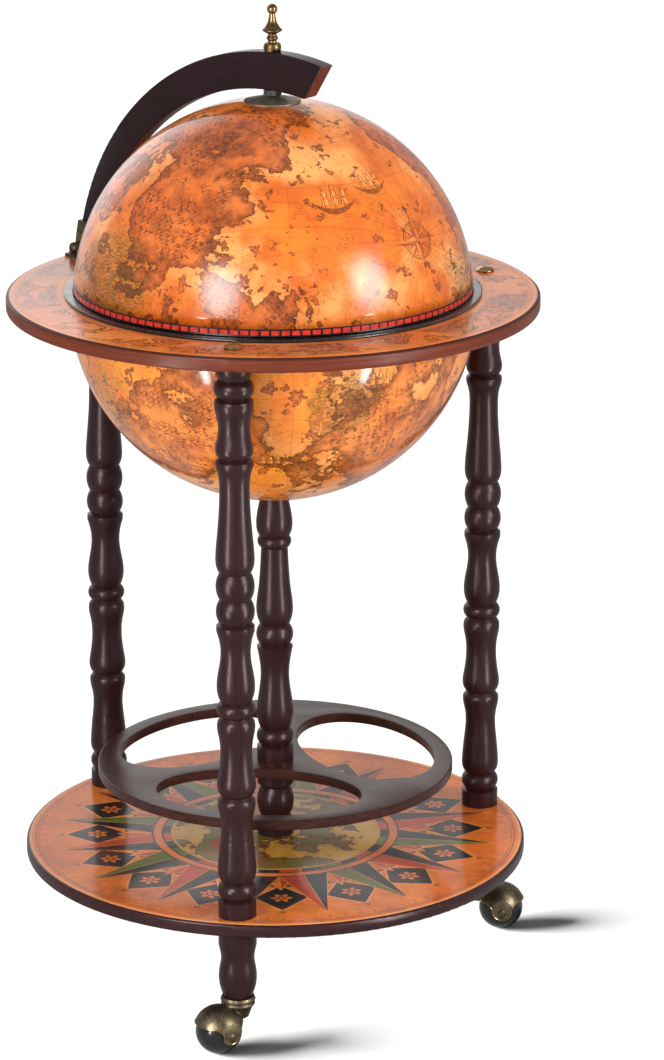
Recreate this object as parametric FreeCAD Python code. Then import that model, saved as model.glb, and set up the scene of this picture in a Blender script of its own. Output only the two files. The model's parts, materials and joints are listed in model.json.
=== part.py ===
import FreeCAD, Part
import math
import os

# Floor globe bar: a globe that opens on a hinged arm, held in a table ring on three turned legs,
# with a bottle rack on a centre column and a round base shelf on ball casters.
# Millimetres, +Z up. The origin is on the floor under the globe's axis, and the front leg is towards -Y.

V = FreeCAD.Vector
os.makedirs("parts", exist_ok=True)

# Heights, from the floor up
caster_height = 46.0
foot_height = 60.0
base_board_thick = 11.0
leg_length = 469.5
ring_board_thick = 11.6
print_thick = 0.4
rack_height = 67.6
rack_thick = 8.5

# Globe
bowl_r = 170.5
bowl_wall = 2.5
dome_inset = 3.8
dome_wall = 2.5
equator_drop = 4.9
band_height = 6.0
band_thick = 0.6

# Plan of the ring, the base and the rack
ring_hole_gap = 2.0
ring_band = 50.0
leg_inset = 19.5
base_overhang = 23.0
board_edge_round = 2.0
print_margin = 2.4
rack_leg_gap = 39.5
rack_rim = 15.0
rack_hub_r = 29.5
rack_web = 16.9
rack_edge_round = 1.2
leg_sides = ("front", "right", "left")

# Turned wood: radii at the fullest place, the narrowest place and the grooves
turned_r = 15.7
waist_r = 12.2
groove_r = 12.4

# Rim trim and serving tray
trim_height = 2.4
trim_lip = 1.7
trim_tongue = 5.0
tray_drop = 20.0
tray_thick = 6.0
bottle_well_r = 45.0
glass_well_r = 31.0
glass_circle_r = 105.0
glass_count = 6

# Arm, pole and finial
arm_thick = 15.0
arm_depth = 31.4
arm_foot_depth = 17.5
arm_outer_shift = 7.7
arm_inner_shift = 3.9
arm_tip_outer = 58.0
arm_tip_inner = 40.0
arm_tip_round = 5.0
arm_edge_round = 1.2
pole_gap = 8.7
pole_rod_r = 3.0
pole_flange_r = 23.5
pole_flange_rise = 3.2
pole_flange_edge = 1.0
pole_nut_flats = 13.0
pole_nut_height = 4.4
pole_washer_r = 9.0
pole_washer_thick = 1.5
finial_height = 39.0
finial_r = 8.3
finial_ball_r = 4.3

# Hinge
hinge_offset = 17.8
hinge_height = 8.0
hinge_pin_r = 2.5
hinge_barrel_r = 5.0
hinge_lug_width = 5.0
leaf_thick = 2.5
leaf_half_width = 16.0
leaf_inner_reach = 10.0
leaf_outer_reach = 27.0
leaf_screw_r = 1.6
shoe_wall = 2.2
shoe_height = 18.7
rivet_r = 2.0
rivet_head_r = 3.5
rivet_head_thick = 1.4
rivet_levels = (0.32, 0.74)

# Fasteners
stud_r = 4.0
stud_in_foot = 18.0
stud_in_leg = 22.0
ring_screw_r = 3.0
ring_screw_in_leg = 30.0
ring_screw_head_r = 7.8
ring_screw_head_height = 4.2
screw_dome_share = 0.7
screw_slot_width = 1.6
screw_slot_deep = 1.4
bowl_screw_r = 1.5
bowl_screw_head_r = 3.0
bowl_screw_head_thick = 1.6
bowl_screw_bite = 9.0
bowl_screw_count = 6
tie_rod_r = 4.0
tie_washer_r = 12.0
tie_washer_thick = 1.6
tie_nut_flats = 13.0
tie_nut_height = 6.5
thread_end = 2.5

# Ball casters
wheel_r = 19.3
wheel_half_width = 16.0
caster_trail = 20.0
hood_lift = 1.0
hood_wall = 1.2
hood_side_wall = 1.8
skirt_above_axle = 8.5
ear_half_width = 14.0
ear_flank = 9.1
ear_waist = 8.2
ear_drop = 6.5
axle_r = 2.5
axle_head_r = 3.6
axle_head_thick = 1.2
collar_r = 14.6
collar_height = 8.2
caster_neck_r = 12.5
caster_neck_foot_r = 6.0
stem_r = 4.0
stem_length = 28.0
socket_wall = 1.15
socket_end_gap = 2.0
caster_azimuths = {"front": -43.0, "right": 99.5, "left": 215.0}

# Clearances
running_gap = 0.05
hole_gap = 0.2
seat_gap = 0.1
side_gap = 0.3
ball_gap = 0.7
lid_gap = 0.8
overcut = 1.0

# Share of the radius that a quarter round's middle lies inside its corner
arc_inset = 1.0 - math.sqrt(0.5)

# Levels and radii that follow from the sizes above
leg_step = 360.0 / len(leg_sides)
leg_azimuths = {side: index * leg_step for index, side in enumerate(leg_sides)}
foot_bottom = caster_height
base_bottom = foot_bottom + foot_height
base_board_top = base_bottom + base_board_thick
base_top = base_board_top + print_thick
ring_bottom = base_top + leg_length
ring_board_top = ring_bottom + ring_board_thick
ring_top = ring_board_top + print_thick
globe_z = ring_top - equator_drop
bowl_inner_r = bowl_r - bowl_wall
dome_r = bowl_r - dome_inset
dome_inner_r = dome_r - dome_wall
ring_hole_r = bowl_r + ring_hole_gap
ring_r = ring_hole_r + ring_band
leg_circle_r = ring_hole_r + leg_inset
base_r = leg_circle_r + base_overhang
rack_top = base_top + rack_height
rack_bottom = rack_top - rack_thick
rack_r = leg_circle_r - rack_leg_gap
trim_top = ring_top + trim_height
dome_edge = trim_top + lid_gap
dome_top = globe_z + dome_r
tray_top = ring_top - tray_drop
tray_bottom = tray_top - tray_thick
crown_inner = dome_top + pole_gap
crown_outer = crown_inner + arm_depth
hinge_r = leg_circle_r + hinge_offset
hinge_z = ring_top + hinge_height
hinge_azimuth = leg_azimuths["left"]


# Shape helpers

def cylinder(radius, bottom, top, x=0.0, y=0.0):
    return Part.makeCylinder(radius, top - bottom, V(x, y, bottom))


def cross_cylinder(radius, half_length, x, z):
    return Part.makeCylinder(radius, 2 * half_length, V(x, -half_length, z), V(0, 1, 0))


def tube(inner, outer, bottom, top):
    return cylinder(outer, bottom, top).cut(cylinder(inner, bottom, top))


def ball(radius, z, x=0.0):
    return Part.makeSphere(radius, V(x, 0, z))


def block(x0, x1, half_y, z0, z1):
    return Part.makeBox(x1 - x0, 2 * half_y, z1 - z0, V(x0, -half_y, z0))


def hexagon(flats, bottom, top):
    corner = flats / math.sqrt(3.0)
    points = []
    for step in range(7):
        angle = math.radians(60.0 * step)
        points.append(V(corner * math.cos(angle), corner * math.sin(angle), bottom))
    return Part.Face(Part.makePolygon(points)).extrude(V(0, 0, top - bottom))


def run_edge(points):
    # Two points make a straight run, three an arc, and more a smooth curve
    if len(points) == 2:
        return Part.makeLine(points[0], points[1])
    if len(points) == 3:
        return Part.Arc(points[0], points[1], points[2]).toShape()
    curve = Part.BSplineCurve()
    curve.interpolate(points)
    return curve.toShape()


def lathe(runs):
    # Solid turned about Z from runs of (radius, height) points, listed from the bottom up
    edges = []
    last = V(0, 0, runs[0][0][1])
    for run in runs:
        points = [V(radius, 0, height) for radius, height in run]
        if last.distanceToPoint(points[0]) > 1e-6:
            edges.append(Part.makeLine(last, points[0]))
        edges.append(run_edge(points))
        last = points[-1]
    top = V(0, 0, last.z)
    if last.distanceToPoint(top) > 1e-6:
        edges.append(Part.makeLine(last, top))
    edges.append(Part.makeLine(top, V(0, 0, runs[0][0][1])))
    face = Part.Face(Part.Wire(edges))
    return Part.Solid(face.revolve(V(0, 0, 0), V(0, 0, 1), 360))


def girth(fullness):
    # Radius of turned wood, from 0 at the narrowest place to 1 at the fullest
    return waist_r + fullness * (turned_r - waist_r)


def turned_wood(pattern, bottom, length):
    # Solid of a turning pattern of (fullness, height) runs, set on its bottom level at the real length
    ratio = length / pattern[-1][-1][1]
    return lathe([[(girth(fullness), bottom + height * ratio) for fullness, height in run]
                  for run in pattern])


def turned_about(shape, angle):
    copy = shape.copy()
    copy.rotate(V(0, 0, 0), V(0, 0, 1), angle)
    return copy


def at_front(shape):
    copy = shape.copy()
    copy.translate(V(0, -leg_circle_r, 0))
    return copy


def around_legs(shape):
    return [turned_about(at_front(shape), azimuth) for azimuth in leg_azimuths.values()]


def cut_all(shape, tools):
    for tool in tools:
        shape = shape.cut(tool)
    return shape


def cap_run(start_angle, ball_r, level):
    # Round cap: an arc about a point at the given level on the axis, from an angle off the top to the top
    half_angle = start_angle / 2
    return [(ball_r * math.sin(start_angle), level + ball_r * math.cos(start_angle)),
            (ball_r * math.sin(half_angle), level + ball_r * math.cos(half_angle)), (0.0, level + ball_r)]


def side_heads(radius, top_radius, thick, half_length, x, z):
    # Two low conical heads for the ends of a cross bar
    heads = []
    for flip in (1, -1):
        seat = V(x, flip * half_length, z)
        heads.append(Part.makeCone(radius, top_radius, thick, seat, V(0, flip, 0)))
    return heads


def slotted_head(radius, height, bottom):
    # Domed screw head with a straight slot
    rise = screw_dome_share * height
    ball_r = (radius ** 2 + rise ** 2) / (2 * rise)
    head = lathe([[(radius, bottom), (radius, bottom + height - rise)],
                  cap_run(math.asin(radius / ball_r), ball_r, bottom + height - ball_r)])
    slot = block(-radius, radius, screw_slot_width / 2, bottom + height - screw_slot_deep, bottom + height)
    return head.cut(slot)


nodes = {}


# Base shelf: a round board and the printed sheet on it

def round_board(radius, bottom, top, rounding):
    inset = arc_inset * rounding
    flat_r = radius - rounding
    return lathe([[(flat_r, bottom), (radius - inset, bottom + inset), (radius, bottom + rounding)],
                  [(radius, bottom + rounding), (radius, top - rounding)],
                  [(radius, top - rounding), (radius - inset, top - inset), (flat_r, top)]])


stud_holes = around_legs(cylinder(stud_r + hole_gap, base_bottom, base_top))
rod_hole = cylinder(tie_rod_r + hole_gap, 0.0, globe_z)
base_board = round_board(base_r, base_bottom, base_board_top, board_edge_round)
nodes["base_board"] = cut_all(base_board, stud_holes + [rod_hole])
base_print = cylinder(base_r - print_margin, base_board_top, base_top)
nodes["base_print"] = cut_all(base_print, stud_holes + [rod_hole])


# Table ring: a round board with the globe's hole, and the printed sheet on it

ring_screw_holes = around_legs(cylinder(ring_screw_r + hole_gap, ring_bottom, ring_top))
globe_hole = cylinder(ring_hole_r, ring_bottom, ring_top)
bowl_screw_z = ring_bottom + 0.3 * ring_board_thick
bowl_screw_azimuths = [(step + 0.5) * 360.0 / bowl_screw_count for step in range(bowl_screw_count)]
bowl_screw_head_x = math.sqrt(bowl_inner_r ** 2 - (globe_z - bowl_screw_z + bowl_screw_head_r) ** 2)


def across_rim(radius, start, length):
    # A round bar that points outwards through the bowl's rim, towards +X
    return Part.makeCylinder(radius, length, V(start, 0, bowl_screw_z), V(1, 0, 0))


bowl_screw_length = ring_hole_r + bowl_screw_bite - bowl_screw_head_x
bowl_screw_hole = across_rim(bowl_screw_r + seat_gap, bowl_screw_head_x, bowl_screw_length)
bowl_screw_holes = [turned_about(bowl_screw_hole, azimuth) for azimuth in bowl_screw_azimuths]
ring_board = round_board(ring_r, ring_bottom, ring_board_top, board_edge_round)
nodes["ring_board"] = cut_all(ring_board, [globe_hole] + ring_screw_holes + bowl_screw_holes)
ring_print = tube(ring_hole_r, ring_r - print_margin, ring_board_top, ring_top)
nodes["ring_print"] = cut_all(ring_print, ring_screw_holes)


# Legs: one turning pattern from the base up, in beads, grooves and long swellings

groove = (groove_r - waist_r) / (turned_r - waist_r)
nick = groove + 0.09
leg_pattern = [
    [(1.0, 0.0), (1.0, 13.8)],
    [(1.0, 13.8), (groove, 15.4)],
    [(groove, 15.4), (1.06, 22.6), (groove, 29.8)],
    [(groove, 29.8), (0.89, 35.0), (1.0, 44.5), (0.6, 61.0), (0.2, 77.0), (0.45, 88.0), (0.95, 97.5),
     (0.9, 101.0)],
    [(0.9, 101.0), (groove, 105.0)],
    [(groove, 105.0), (1.03, 112.0), (0.8, 122.0), (0.25, 139.0), (0.55, 155.0), (1.0, 165.0),
     (0.83, 169.2)],
    [(0.83, 169.2), (groove, 173.2)],
    [(groove, 173.2), (1.06, 179.5), (groove, 185.8)],
    [(groove, 185.8), (0.86, 193.8), (0.97, 202.0), (0.29, 217.5), (0.0, 228.0), (0.34, 238.5),
     (0.97, 246.5)],
    [(0.97, 246.5), (0.97, 250.9)],
    [(0.97, 250.9), (nick, 252.9)],
    [(nick, 252.9), (1.03, 262.9), (nick, 272.9)],
    [(nick, 272.9), (1.03, 284.2), (nick, 295.6)],
    [(nick, 295.6), (0.9, 301.5), (1.03, 310.0), (0.66, 326.0), (0.29, 341.0), (0.0, 366.0), (0.4, 379.0),
     (0.92, 386.5), (0.83, 389.2)],
    [(0.83, 389.2), (groove, 391.5)],
    [(groove, 391.5), (0.91, 397.5), (0.55, 406.0), (0.17, 416.5), (0.6, 427.0), (1.08, 435.5),
     (0.91, 439.3)],
    [(0.91, 439.3), (nick, 441.5)],
    [(nick, 441.5), (1.17, 449.0), (groove, 456.4)],
    [(groove, 456.4), (0.62, 461.0), (0.77, 469.5)],
]
leg = turned_wood(leg_pattern, base_top, leg_length)
leg = leg.cut(cylinder(stud_r + seat_gap, base_top, base_top + stud_in_leg + seat_gap))
leg = leg.cut(cylinder(ring_screw_r + seat_gap, ring_bottom - ring_screw_in_leg - seat_gap, ring_bottom))


# Feet: a short turning under the base, bored from below for the caster's socket

foot_pattern = [
    [(-0.11, 0.0), (0.63, 7.0), (1.03, 17.0), (0.77, 26.0), (0.46, 34.0), (0.74, 41.0), (1.03, 46.0)],
    [(1.03, 46.0), (1.03, 60.0)],
]
socket_r = stem_r + running_gap + socket_wall
socket_top = foot_bottom + stem_length + socket_end_gap
foot = turned_wood(foot_pattern, foot_bottom, foot_height)
foot = foot.cut(cylinder(socket_r + running_gap, foot_bottom, socket_top + seat_gap))
foot = foot.cut(cylinder(stud_r + seat_gap, base_bottom - stud_in_foot - seat_gap, base_bottom))

for side, azimuth in leg_azimuths.items():
    nodes["leg_" + side] = turned_about(at_front(leg), azimuth)
    nodes["foot_" + side] = turned_about(at_front(foot), azimuth)


# Leg studs and ring screws

stud = cylinder(stud_r, base_bottom - stud_in_foot, base_top + stud_in_leg)
nodes["leg_studs"] = Part.makeCompound(around_legs(stud))


def ring_screw(seat):
    shank = cylinder(ring_screw_r, ring_bottom - ring_screw_in_leg, seat)
    return shank.fuse(slotted_head(ring_screw_head_r, ring_screw_head_height, seat)).removeSplitter()


ring_screws = []
for azimuth in leg_azimuths.values():
    seat = ring_top + leaf_thick if azimuth == hinge_azimuth else ring_top
    ring_screws.append(turned_about(at_front(ring_screw(seat)), azimuth))
nodes["ring_screws"] = Part.makeCompound(ring_screws)


# Centre column in two turned pieces, with the bottle rack clamped between them

column_pattern = [
    [(1.0, 0.0), (1.0, 12.0)],
    [(1.0, 12.0), (groove, 14.0)],
    [(groove, 14.0), (1.06, 21.0), (groove, 28.0)],
    [(groove, 28.0), (1.0, 42.0), (0.49, 60.0), (0.0, 78.0), (0.4, 92.0), (0.94, 102.0)],
    [(0.94, 102.0), (groove, 104.0)],
    [(groove, 104.0), (1.03, 113.0), (groove, 122.0)],
    [(groove, 122.0), (1.0, 135.0), (0.57, 151.0), (0.0, 173.0), (-0.17, 185.0), (-0.23, 190.5)],
    [(-0.23, 190.5), (0.63, 195.5), (0.1, 200.5)],
    [(0.1, 200.5), (0.72, 205.0), (0.93, 212.0), (0.62, 222.0), (0.1, 231.0), (-0.2, 238.5)],
]
column_head_r = girth(column_pattern[-1][-1][0])
column_top = globe_z - math.sqrt(bowl_r ** 2 - column_head_r ** 2)
column_upper = turned_wood(column_pattern, rack_top, column_top - rack_top)
nodes["column_upper"] = cut_all(column_upper, [rod_hole, ball(bowl_r + seat_gap, globe_z)])
spacer_pattern = [
    [(1.0, 0.0), (1.0, 13.2)],
    [(1.0, 13.2), (groove, 16.2)],
    [(groove, 16.2), (1.06, 30.0), (groove, 43.8)],
    [(groove, 43.8), (1.0, 46.8)],
    [(1.0, 46.8), (1.0, 60.0)],
]
column_lower = turned_wood(spacer_pattern, base_top, rack_bottom - base_top)
nodes["column_lower"] = column_lower.cut(rod_hole)

# Each bay is an oval from the hub to the rim, as wide as the webs between the bays leave room for
half_step = math.radians(leg_step / 2)
bay_half_deep = (rack_r - rack_rim - rack_hub_r) / 2
bay_centre = rack_hub_r + bay_half_deep
web_reach = bay_centre * math.sin(half_step) - rack_web / 2
bay_half_wide = math.sqrt(web_reach ** 2 - (bay_half_deep * math.sin(half_step)) ** 2) / math.cos(half_step)
bay_ellipse = Part.Ellipse(V(0, -bay_centre, rack_bottom), bay_half_wide, bay_half_deep)
bay = Part.Face(Part.Wire(bay_ellipse.toShape())).extrude(V(0, 0, rack_thick))
rack = cylinder(rack_r, rack_bottom, rack_top)
rack = cut_all(rack, [turned_about(bay, azimuth) for azimuth in leg_azimuths.values()])
rim_edges = [edge for edge in rack.Edges if len(edge.Vertexes) == 1]
rack = rack.makeFillet(rack_edge_round, rim_edges)
nodes["bottle_rack"] = rack.cut(rod_hole)


# Tie rod from under the base to inside the bowl, with a washer and a nut at each end

bowl_floor = globe_z - math.sqrt(bowl_inner_r ** 2 - tie_washer_r ** 2) + seat_gap
rod_past_board = tie_washer_thick + tie_nut_height + thread_end
nodes["tie_rod"] = cylinder(tie_rod_r, base_bottom - rod_past_board, bowl_floor + rod_past_board)


def tie_washer(bottom):
    return tube(tie_rod_r + hole_gap, tie_washer_r, bottom, bottom + tie_washer_thick)


def tie_nut(bottom):
    bore = cylinder(tie_rod_r + running_gap, bottom, bottom + tie_nut_height)
    return hexagon(tie_nut_flats, bottom, bottom + tie_nut_height).cut(bore)


lower_washer_bottom = base_bottom - tie_washer_thick
lower_nut_bottom = lower_washer_bottom - tie_nut_height
nodes["tie_washers"] = Part.makeCompound([tie_washer(lower_washer_bottom), tie_washer(bowl_floor)])
nodes["tie_nuts"] = Part.makeCompound([tie_nut(lower_nut_bottom), tie_nut(bowl_floor + tie_washer_thick)])


# Bowl: the globe's lower half, open at the ring's top

below_ring_top = cylinder(bowl_r + overcut, globe_z - bowl_r - overcut, ring_top)
bowl = ball(bowl_r, globe_z).cut(ball(bowl_inner_r, globe_z)).common(below_ring_top)
nodes["bowl"] = cut_all(bowl, [rod_hole] + bowl_screw_holes)

screw_head = across_rim(bowl_screw_head_r, bowl_screw_head_x - bowl_screw_head_thick, bowl_screw_head_thick)
bowl_screw = across_rim(bowl_screw_r, bowl_screw_head_x, bowl_screw_length - seat_gap).fuse(screw_head)
bowl_screws = [turned_about(bowl_screw, azimuth) for azimuth in bowl_screw_azimuths]
nodes["bowl_screws"] = Part.makeCompound(bowl_screws)

trim_inner = bowl_inner_r - trim_lip / 2
trim_outer = ring_hole_r + trim_lip
trim_round = trim_height / 2
trim_inset = arc_inset * trim_round
trim_cap = lathe([[(trim_outer, ring_top), (trim_outer, trim_top - trim_round)],
                  [(trim_outer, trim_top - trim_round), (trim_outer - trim_inset, trim_top - trim_inset),
                   (trim_outer - trim_round, trim_top)]])
trim = trim_cap.cut(cylinder(trim_inner, ring_top, trim_top))
tongue = tube(bowl_r + side_gap, ring_hole_r - side_gap, ring_top - trim_tongue, ring_top)
nodes["rim_trim"] = trim.fuse(tongue).removeSplitter()


# Serving tray: a board that drops into the bowl until its edge meets the wall

tray = cylinder(bowl_r, tray_bottom, tray_top).common(ball(bowl_inner_r - seat_gap, globe_z))
glass_well = cylinder(glass_well_r, tray_bottom, tray_top, 0.0, -glass_circle_r)
glass_wells = [turned_about(glass_well, step * 360.0 / glass_count) for step in range(glass_count)]
nodes["serving_tray"] = cut_all(tray, glass_wells + [cylinder(bottle_well_r, tray_bottom, tray_top)])


# Dome: the globe's upper half, with a rebate for the dashed band at its lower edge

above_edge = cylinder(dome_r + overcut, dome_edge, dome_top + overcut)
band_outer = math.sqrt(dome_r ** 2 - (dome_edge - globe_z) ** 2)
band_inner = math.sqrt(dome_r ** 2 - (dome_edge + band_height - globe_z) ** 2) - band_thick
dome = ball(dome_r, globe_z).cut(ball(dome_inner_r, globe_z)).common(above_edge)
dome = dome.cut(tube(band_inner, dome_r + overcut, dome_edge, dome_edge + band_height))
nodes["dome"] = dome.cut(cylinder(pole_rod_r + running_gap, globe_z, dome_top + overcut))
nodes["rim_band"] = tube(band_inner, band_outer, dome_edge, dome_edge + band_height)


# Arm: a flat arch in a plane through the globe's axis, drawn with its foot towards +X

shoe_half = arm_thick / 2 + seat_gap + shoe_wall
foot_z = hinge_z + hinge_barrel_r + side_gap
arm_turn = hinge_azimuth - 90.0


def arc_circle(shift, foot_x, crown):
    # Circle through the foot and the crown whose centre is the given shift past the axis
    rise = 2 * (crown - foot_z)
    centre_z = (shift ** 2 + crown ** 2 - (foot_x + shift) ** 2 - foot_z ** 2) / rise
    return -shift, centre_z, math.hypot(shift, crown - centre_z)


def on_circle_x(circle, x, grow=0.0):
    return V(x, 0, circle[1] + math.sqrt((circle[2] + grow) ** 2 - (x - circle[0]) ** 2))


def on_circle_z(circle, z, grow=0.0):
    return V(circle[0] + math.sqrt((circle[2] + grow) ** 2 - (z - circle[1]) ** 2), 0, z)


outer_circle = arc_circle(arm_outer_shift, hinge_r, crown_outer)
inner_circle = arc_circle(arm_inner_shift, hinge_r - arm_foot_depth, crown_inner)


def extruded(edges, half_width):
    face = Part.Face(Part.Wire(edges))
    face.translate(V(0, -half_width, 0))
    return face.extrude(V(0, 2 * half_width, 0))


foot_outer = on_circle_z(outer_circle, foot_z)
foot_inner = on_circle_z(inner_circle, foot_z)
tip_outer = on_circle_x(outer_circle, -arm_tip_outer)
tip_inner = on_circle_x(inner_circle, -arm_tip_inner)
arm = extruded([run_edge([foot_outer, on_circle_x(outer_circle, 0.0), tip_outer]),
                run_edge([tip_outer, tip_inner]),
                run_edge([tip_inner, on_circle_x(inner_circle, 0.0), foot_inner]),
                run_edge([foot_inner, foot_outer])], arm_thick / 2)
tip_edges = [edge for edge in arm.Edges
             if math.hypot(edge.CenterOfMass.x - tip_inner.x, edge.CenterOfMass.z - tip_inner.z) < 0.01]
arm = arm.makeFillet(arm_tip_round, tip_edges)
long_edges = []
for edge in arm.Edges:
    middle = edge.CenterOfMass
    if abs(abs(middle.y) - arm_thick / 2) < 0.01 and middle.z > foot_z + 0.01:
        long_edges.append(edge)
arm = arm.makeFillet(arm_edge_round, long_edges)


# Shoe: a bronze ferrule round the arm's foot with the hinge barrel under it

def shoe_block(grow, bottom, top, half_width):
    middle = (bottom + top) / 2
    outer = [on_circle_z(outer_circle, z, grow) for z in (bottom, middle, top)]
    inner = [on_circle_z(inner_circle, z, -grow) for z in (top, middle, bottom)]
    return extruded([run_edge(outer), run_edge([outer[2], inner[0]]),
                     run_edge(inner), run_edge([inner[2], outer[0]])], half_width)


shoe_top = foot_z + shoe_height
shoe = shoe_block(seat_gap + shoe_wall, foot_z - shoe_wall, shoe_top, shoe_half)
shoe = shoe.fuse(cross_cylinder(hinge_barrel_r, shoe_half, hinge_r, hinge_z)).removeSplitter()
shoe = shoe.cut(shoe_block(seat_gap, foot_z - seat_gap, shoe_top, arm_thick / 2 + seat_gap))
shoe = shoe.cut(cross_cylinder(hinge_pin_r + running_gap, shoe_half, hinge_r, hinge_z))
rivets = []
rivet_holes = []
for share in rivet_levels:
    rivet_z = foot_z + share * shoe_height
    rivet_x = (on_circle_z(outer_circle, rivet_z).x + on_circle_z(inner_circle, rivet_z).x) / 2
    rivet = cross_cylinder(rivet_r, shoe_half, rivet_x, rivet_z)
    heads = side_heads(rivet_head_r, 0.6 * rivet_head_r, rivet_head_thick, shoe_half, rivet_x, rivet_z)
    rivets.append(rivet.fuse(heads).removeSplitter())
    rivet_holes.append(cross_cylinder(rivet_r + running_gap, shoe_half, rivet_x, rivet_z))
pole_hole = cylinder(pole_rod_r + running_gap, dome_top, crown_outer)
finial_seat = cylinder(finial_r + side_gap, crown_outer, crown_outer + arm_edge_round)
nodes["arm"] = turned_about(cut_all(arm, rivet_holes + [pole_hole, finial_seat]), arm_turn)
nodes["arm_shoe"] = turned_about(cut_all(shoe, rivet_holes), arm_turn)
nodes["shoe_rivets"] = turned_about(Part.makeCompound(rivets), arm_turn)


# Hinge leaf on the ring: a plate, two lugs for the pin and a heel stop for the open lid

leaf_top = ring_top + leaf_thick
leaf_inner_x = leg_circle_r - leaf_inner_reach
leaf_outer_x = leg_circle_r + leaf_outer_reach
leaf = block(leaf_inner_x, leaf_outer_x, leaf_half_width, ring_top, leaf_top)
lug_start = shoe_half + side_gap
lug_end = lug_start + hinge_lug_width
for flip in (1, -1):
    lug_y = lug_start if flip > 0 else -lug_end
    lug = Part.makeCylinder(hinge_barrel_r, hinge_lug_width, V(hinge_r, lug_y, hinge_z), V(0, 1, 0))
    web_corner = V(hinge_r - hinge_barrel_r, lug_y, ring_top)
    web = Part.makeBox(2 * hinge_barrel_r, hinge_lug_width, hinge_z - ring_top, web_corner)
    leaf = leaf.fuse(lug).fuse(web)
stop_top = hinge_z - shoe_wall - seat_gap - side_gap
stop_inner_x = hinge_r + hinge_barrel_r + side_gap
leaf = leaf.fuse(block(stop_inner_x, leaf_outer_x, shoe_half, leaf_top, stop_top)).removeSplitter()
leaf_screw_x = leaf_inner_x + 2.2 * leaf_screw_r
leaf_screw_y = leaf_half_width - 2.4 * leaf_screw_r
leaf_screw_head_r = 1.9 * leaf_screw_r
leaf_screw_deep = 0.9 * ring_board_thick
leaf_cuts = [cylinder(ring_screw_r + hole_gap, ring_top, leaf_top, leg_circle_r, 0.0)]
leaf_cuts.append(cross_cylinder(hinge_pin_r, lug_end, hinge_r, hinge_z))
leaf_screws = []
pilot_holes = []
for flip in (1, -1):
    y = flip * leaf_screw_y
    leaf_cuts.append(cylinder(leaf_screw_r + seat_gap, ring_top, leaf_top, leaf_screw_x, y))
    screw = cylinder(leaf_screw_r, leaf_top - leaf_screw_deep, leaf_top, leaf_screw_x, y)
    head = slotted_head(leaf_screw_head_r, 1.1 * leaf_screw_r, leaf_top)
    head.translate(V(leaf_screw_x, y, 0))
    leaf_screws.append(screw.fuse(head).removeSplitter())
    pilot = cylinder(leaf_screw_r + seat_gap, leaf_top - leaf_screw_deep, ring_top, leaf_screw_x, y)
    pilot_holes.append(turned_about(pilot, arm_turn))
nodes["hinge_leaf"] = turned_about(cut_all(leaf, leaf_cuts), arm_turn)
nodes["leaf_screws"] = turned_about(Part.makeCompound(leaf_screws), arm_turn)
nodes["ring_board"] = cut_all(nodes["ring_board"], pilot_holes)
nodes["ring_print"] = cut_all(nodes["ring_print"], pilot_holes)
pin = cross_cylinder(hinge_pin_r, lug_end, hinge_r, hinge_z)
pin_heads = side_heads(1.4 * hinge_pin_r, hinge_pin_r, 0.6 * hinge_pin_r, lug_end, hinge_r, hinge_z)
nodes["hinge_pin"] = turned_about(pin.fuse(pin_heads).removeSplitter(), arm_turn)


# Pole: the flange turns with the dome on a rod that is held by the arm, its nuts and the finial

flange_top = dome_top + pole_flange_rise
flange_edge = globe_z + math.sqrt(dome_r ** 2 - pole_flange_r ** 2)
flange_lip = flange_edge + pole_flange_edge
flange = lathe([[(pole_flange_r, flange_edge), (pole_flange_r, flange_lip)],
                [(pole_flange_r, flange_lip), (0.55 * pole_flange_r, flange_top - 0.45 * pole_flange_rise),
                 (0.36 * pole_flange_r, flange_top)]])
flange = flange.cut(ball(dome_r + seat_gap, globe_z))
nodes["pole_flange"] = flange.cut(cylinder(pole_rod_r + running_gap, globe_z, flange_top))


def pole_nut(top):
    nut = hexagon(pole_nut_flats, top - pole_nut_height, top)
    return nut.cut(cylinder(pole_rod_r + running_gap, top - pole_nut_height, top))


washer_top = globe_z + math.sqrt(dome_inner_r ** 2 - pole_washer_r ** 2) - side_gap
washer_bottom = washer_top - pole_washer_thick
lock_nut_top = crown_inner - side_gap
inside_nut_bottom = washer_bottom - pole_nut_height
nodes["pole_nuts"] = Part.makeCompound([pole_nut(lock_nut_top), pole_nut(washer_bottom)])
nodes["pole_washer"] = tube(pole_rod_r + running_gap, pole_washer_r, washer_bottom, washer_top)

finial_bottom = crown_outer
finial_thread = 0.3 * finial_height
finial_runs = [
    [(0.80, 0.0), (0.88, 0.09), (0.78, 0.17)],
    [(0.78, 0.17), (0.44, 0.185)],
    [(0.44, 0.185), (0.42, 0.235)],
    [(0.42, 0.235), (0.58, 0.28), (0.42, 0.325)],
    [(0.42, 0.325), (0.44, 0.365)],
    [(0.44, 0.365), (0.84, 0.415), (1.0, 0.45), (0.84, 0.485), (0.62, 0.55), (0.45, 0.62), (0.36, 0.70),
     (0.28, 0.80)],
]
finial_shape = [[(finial_r * radius, finial_bottom + finial_height * height) for radius, height in run]
                for run in finial_runs]
neck_angle = math.pi - math.asin(finial_shape[-1][-1][0] / finial_ball_r)
finial_shape.append(cap_run(neck_angle, finial_ball_r, finial_bottom + finial_height - finial_ball_r))
finial = lathe(finial_shape)
nodes["finial"] = finial.cut(cylinder(pole_rod_r, finial_bottom, finial_bottom + finial_thread))
nodes["pole_rod"] = cylinder(pole_rod_r, inside_nut_bottom - thread_end, finial_bottom + finial_thread)


# Ball casters: socket in the foot, stem, hood with collar, axle and ball wheel, drawn trailing towards +X

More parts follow.
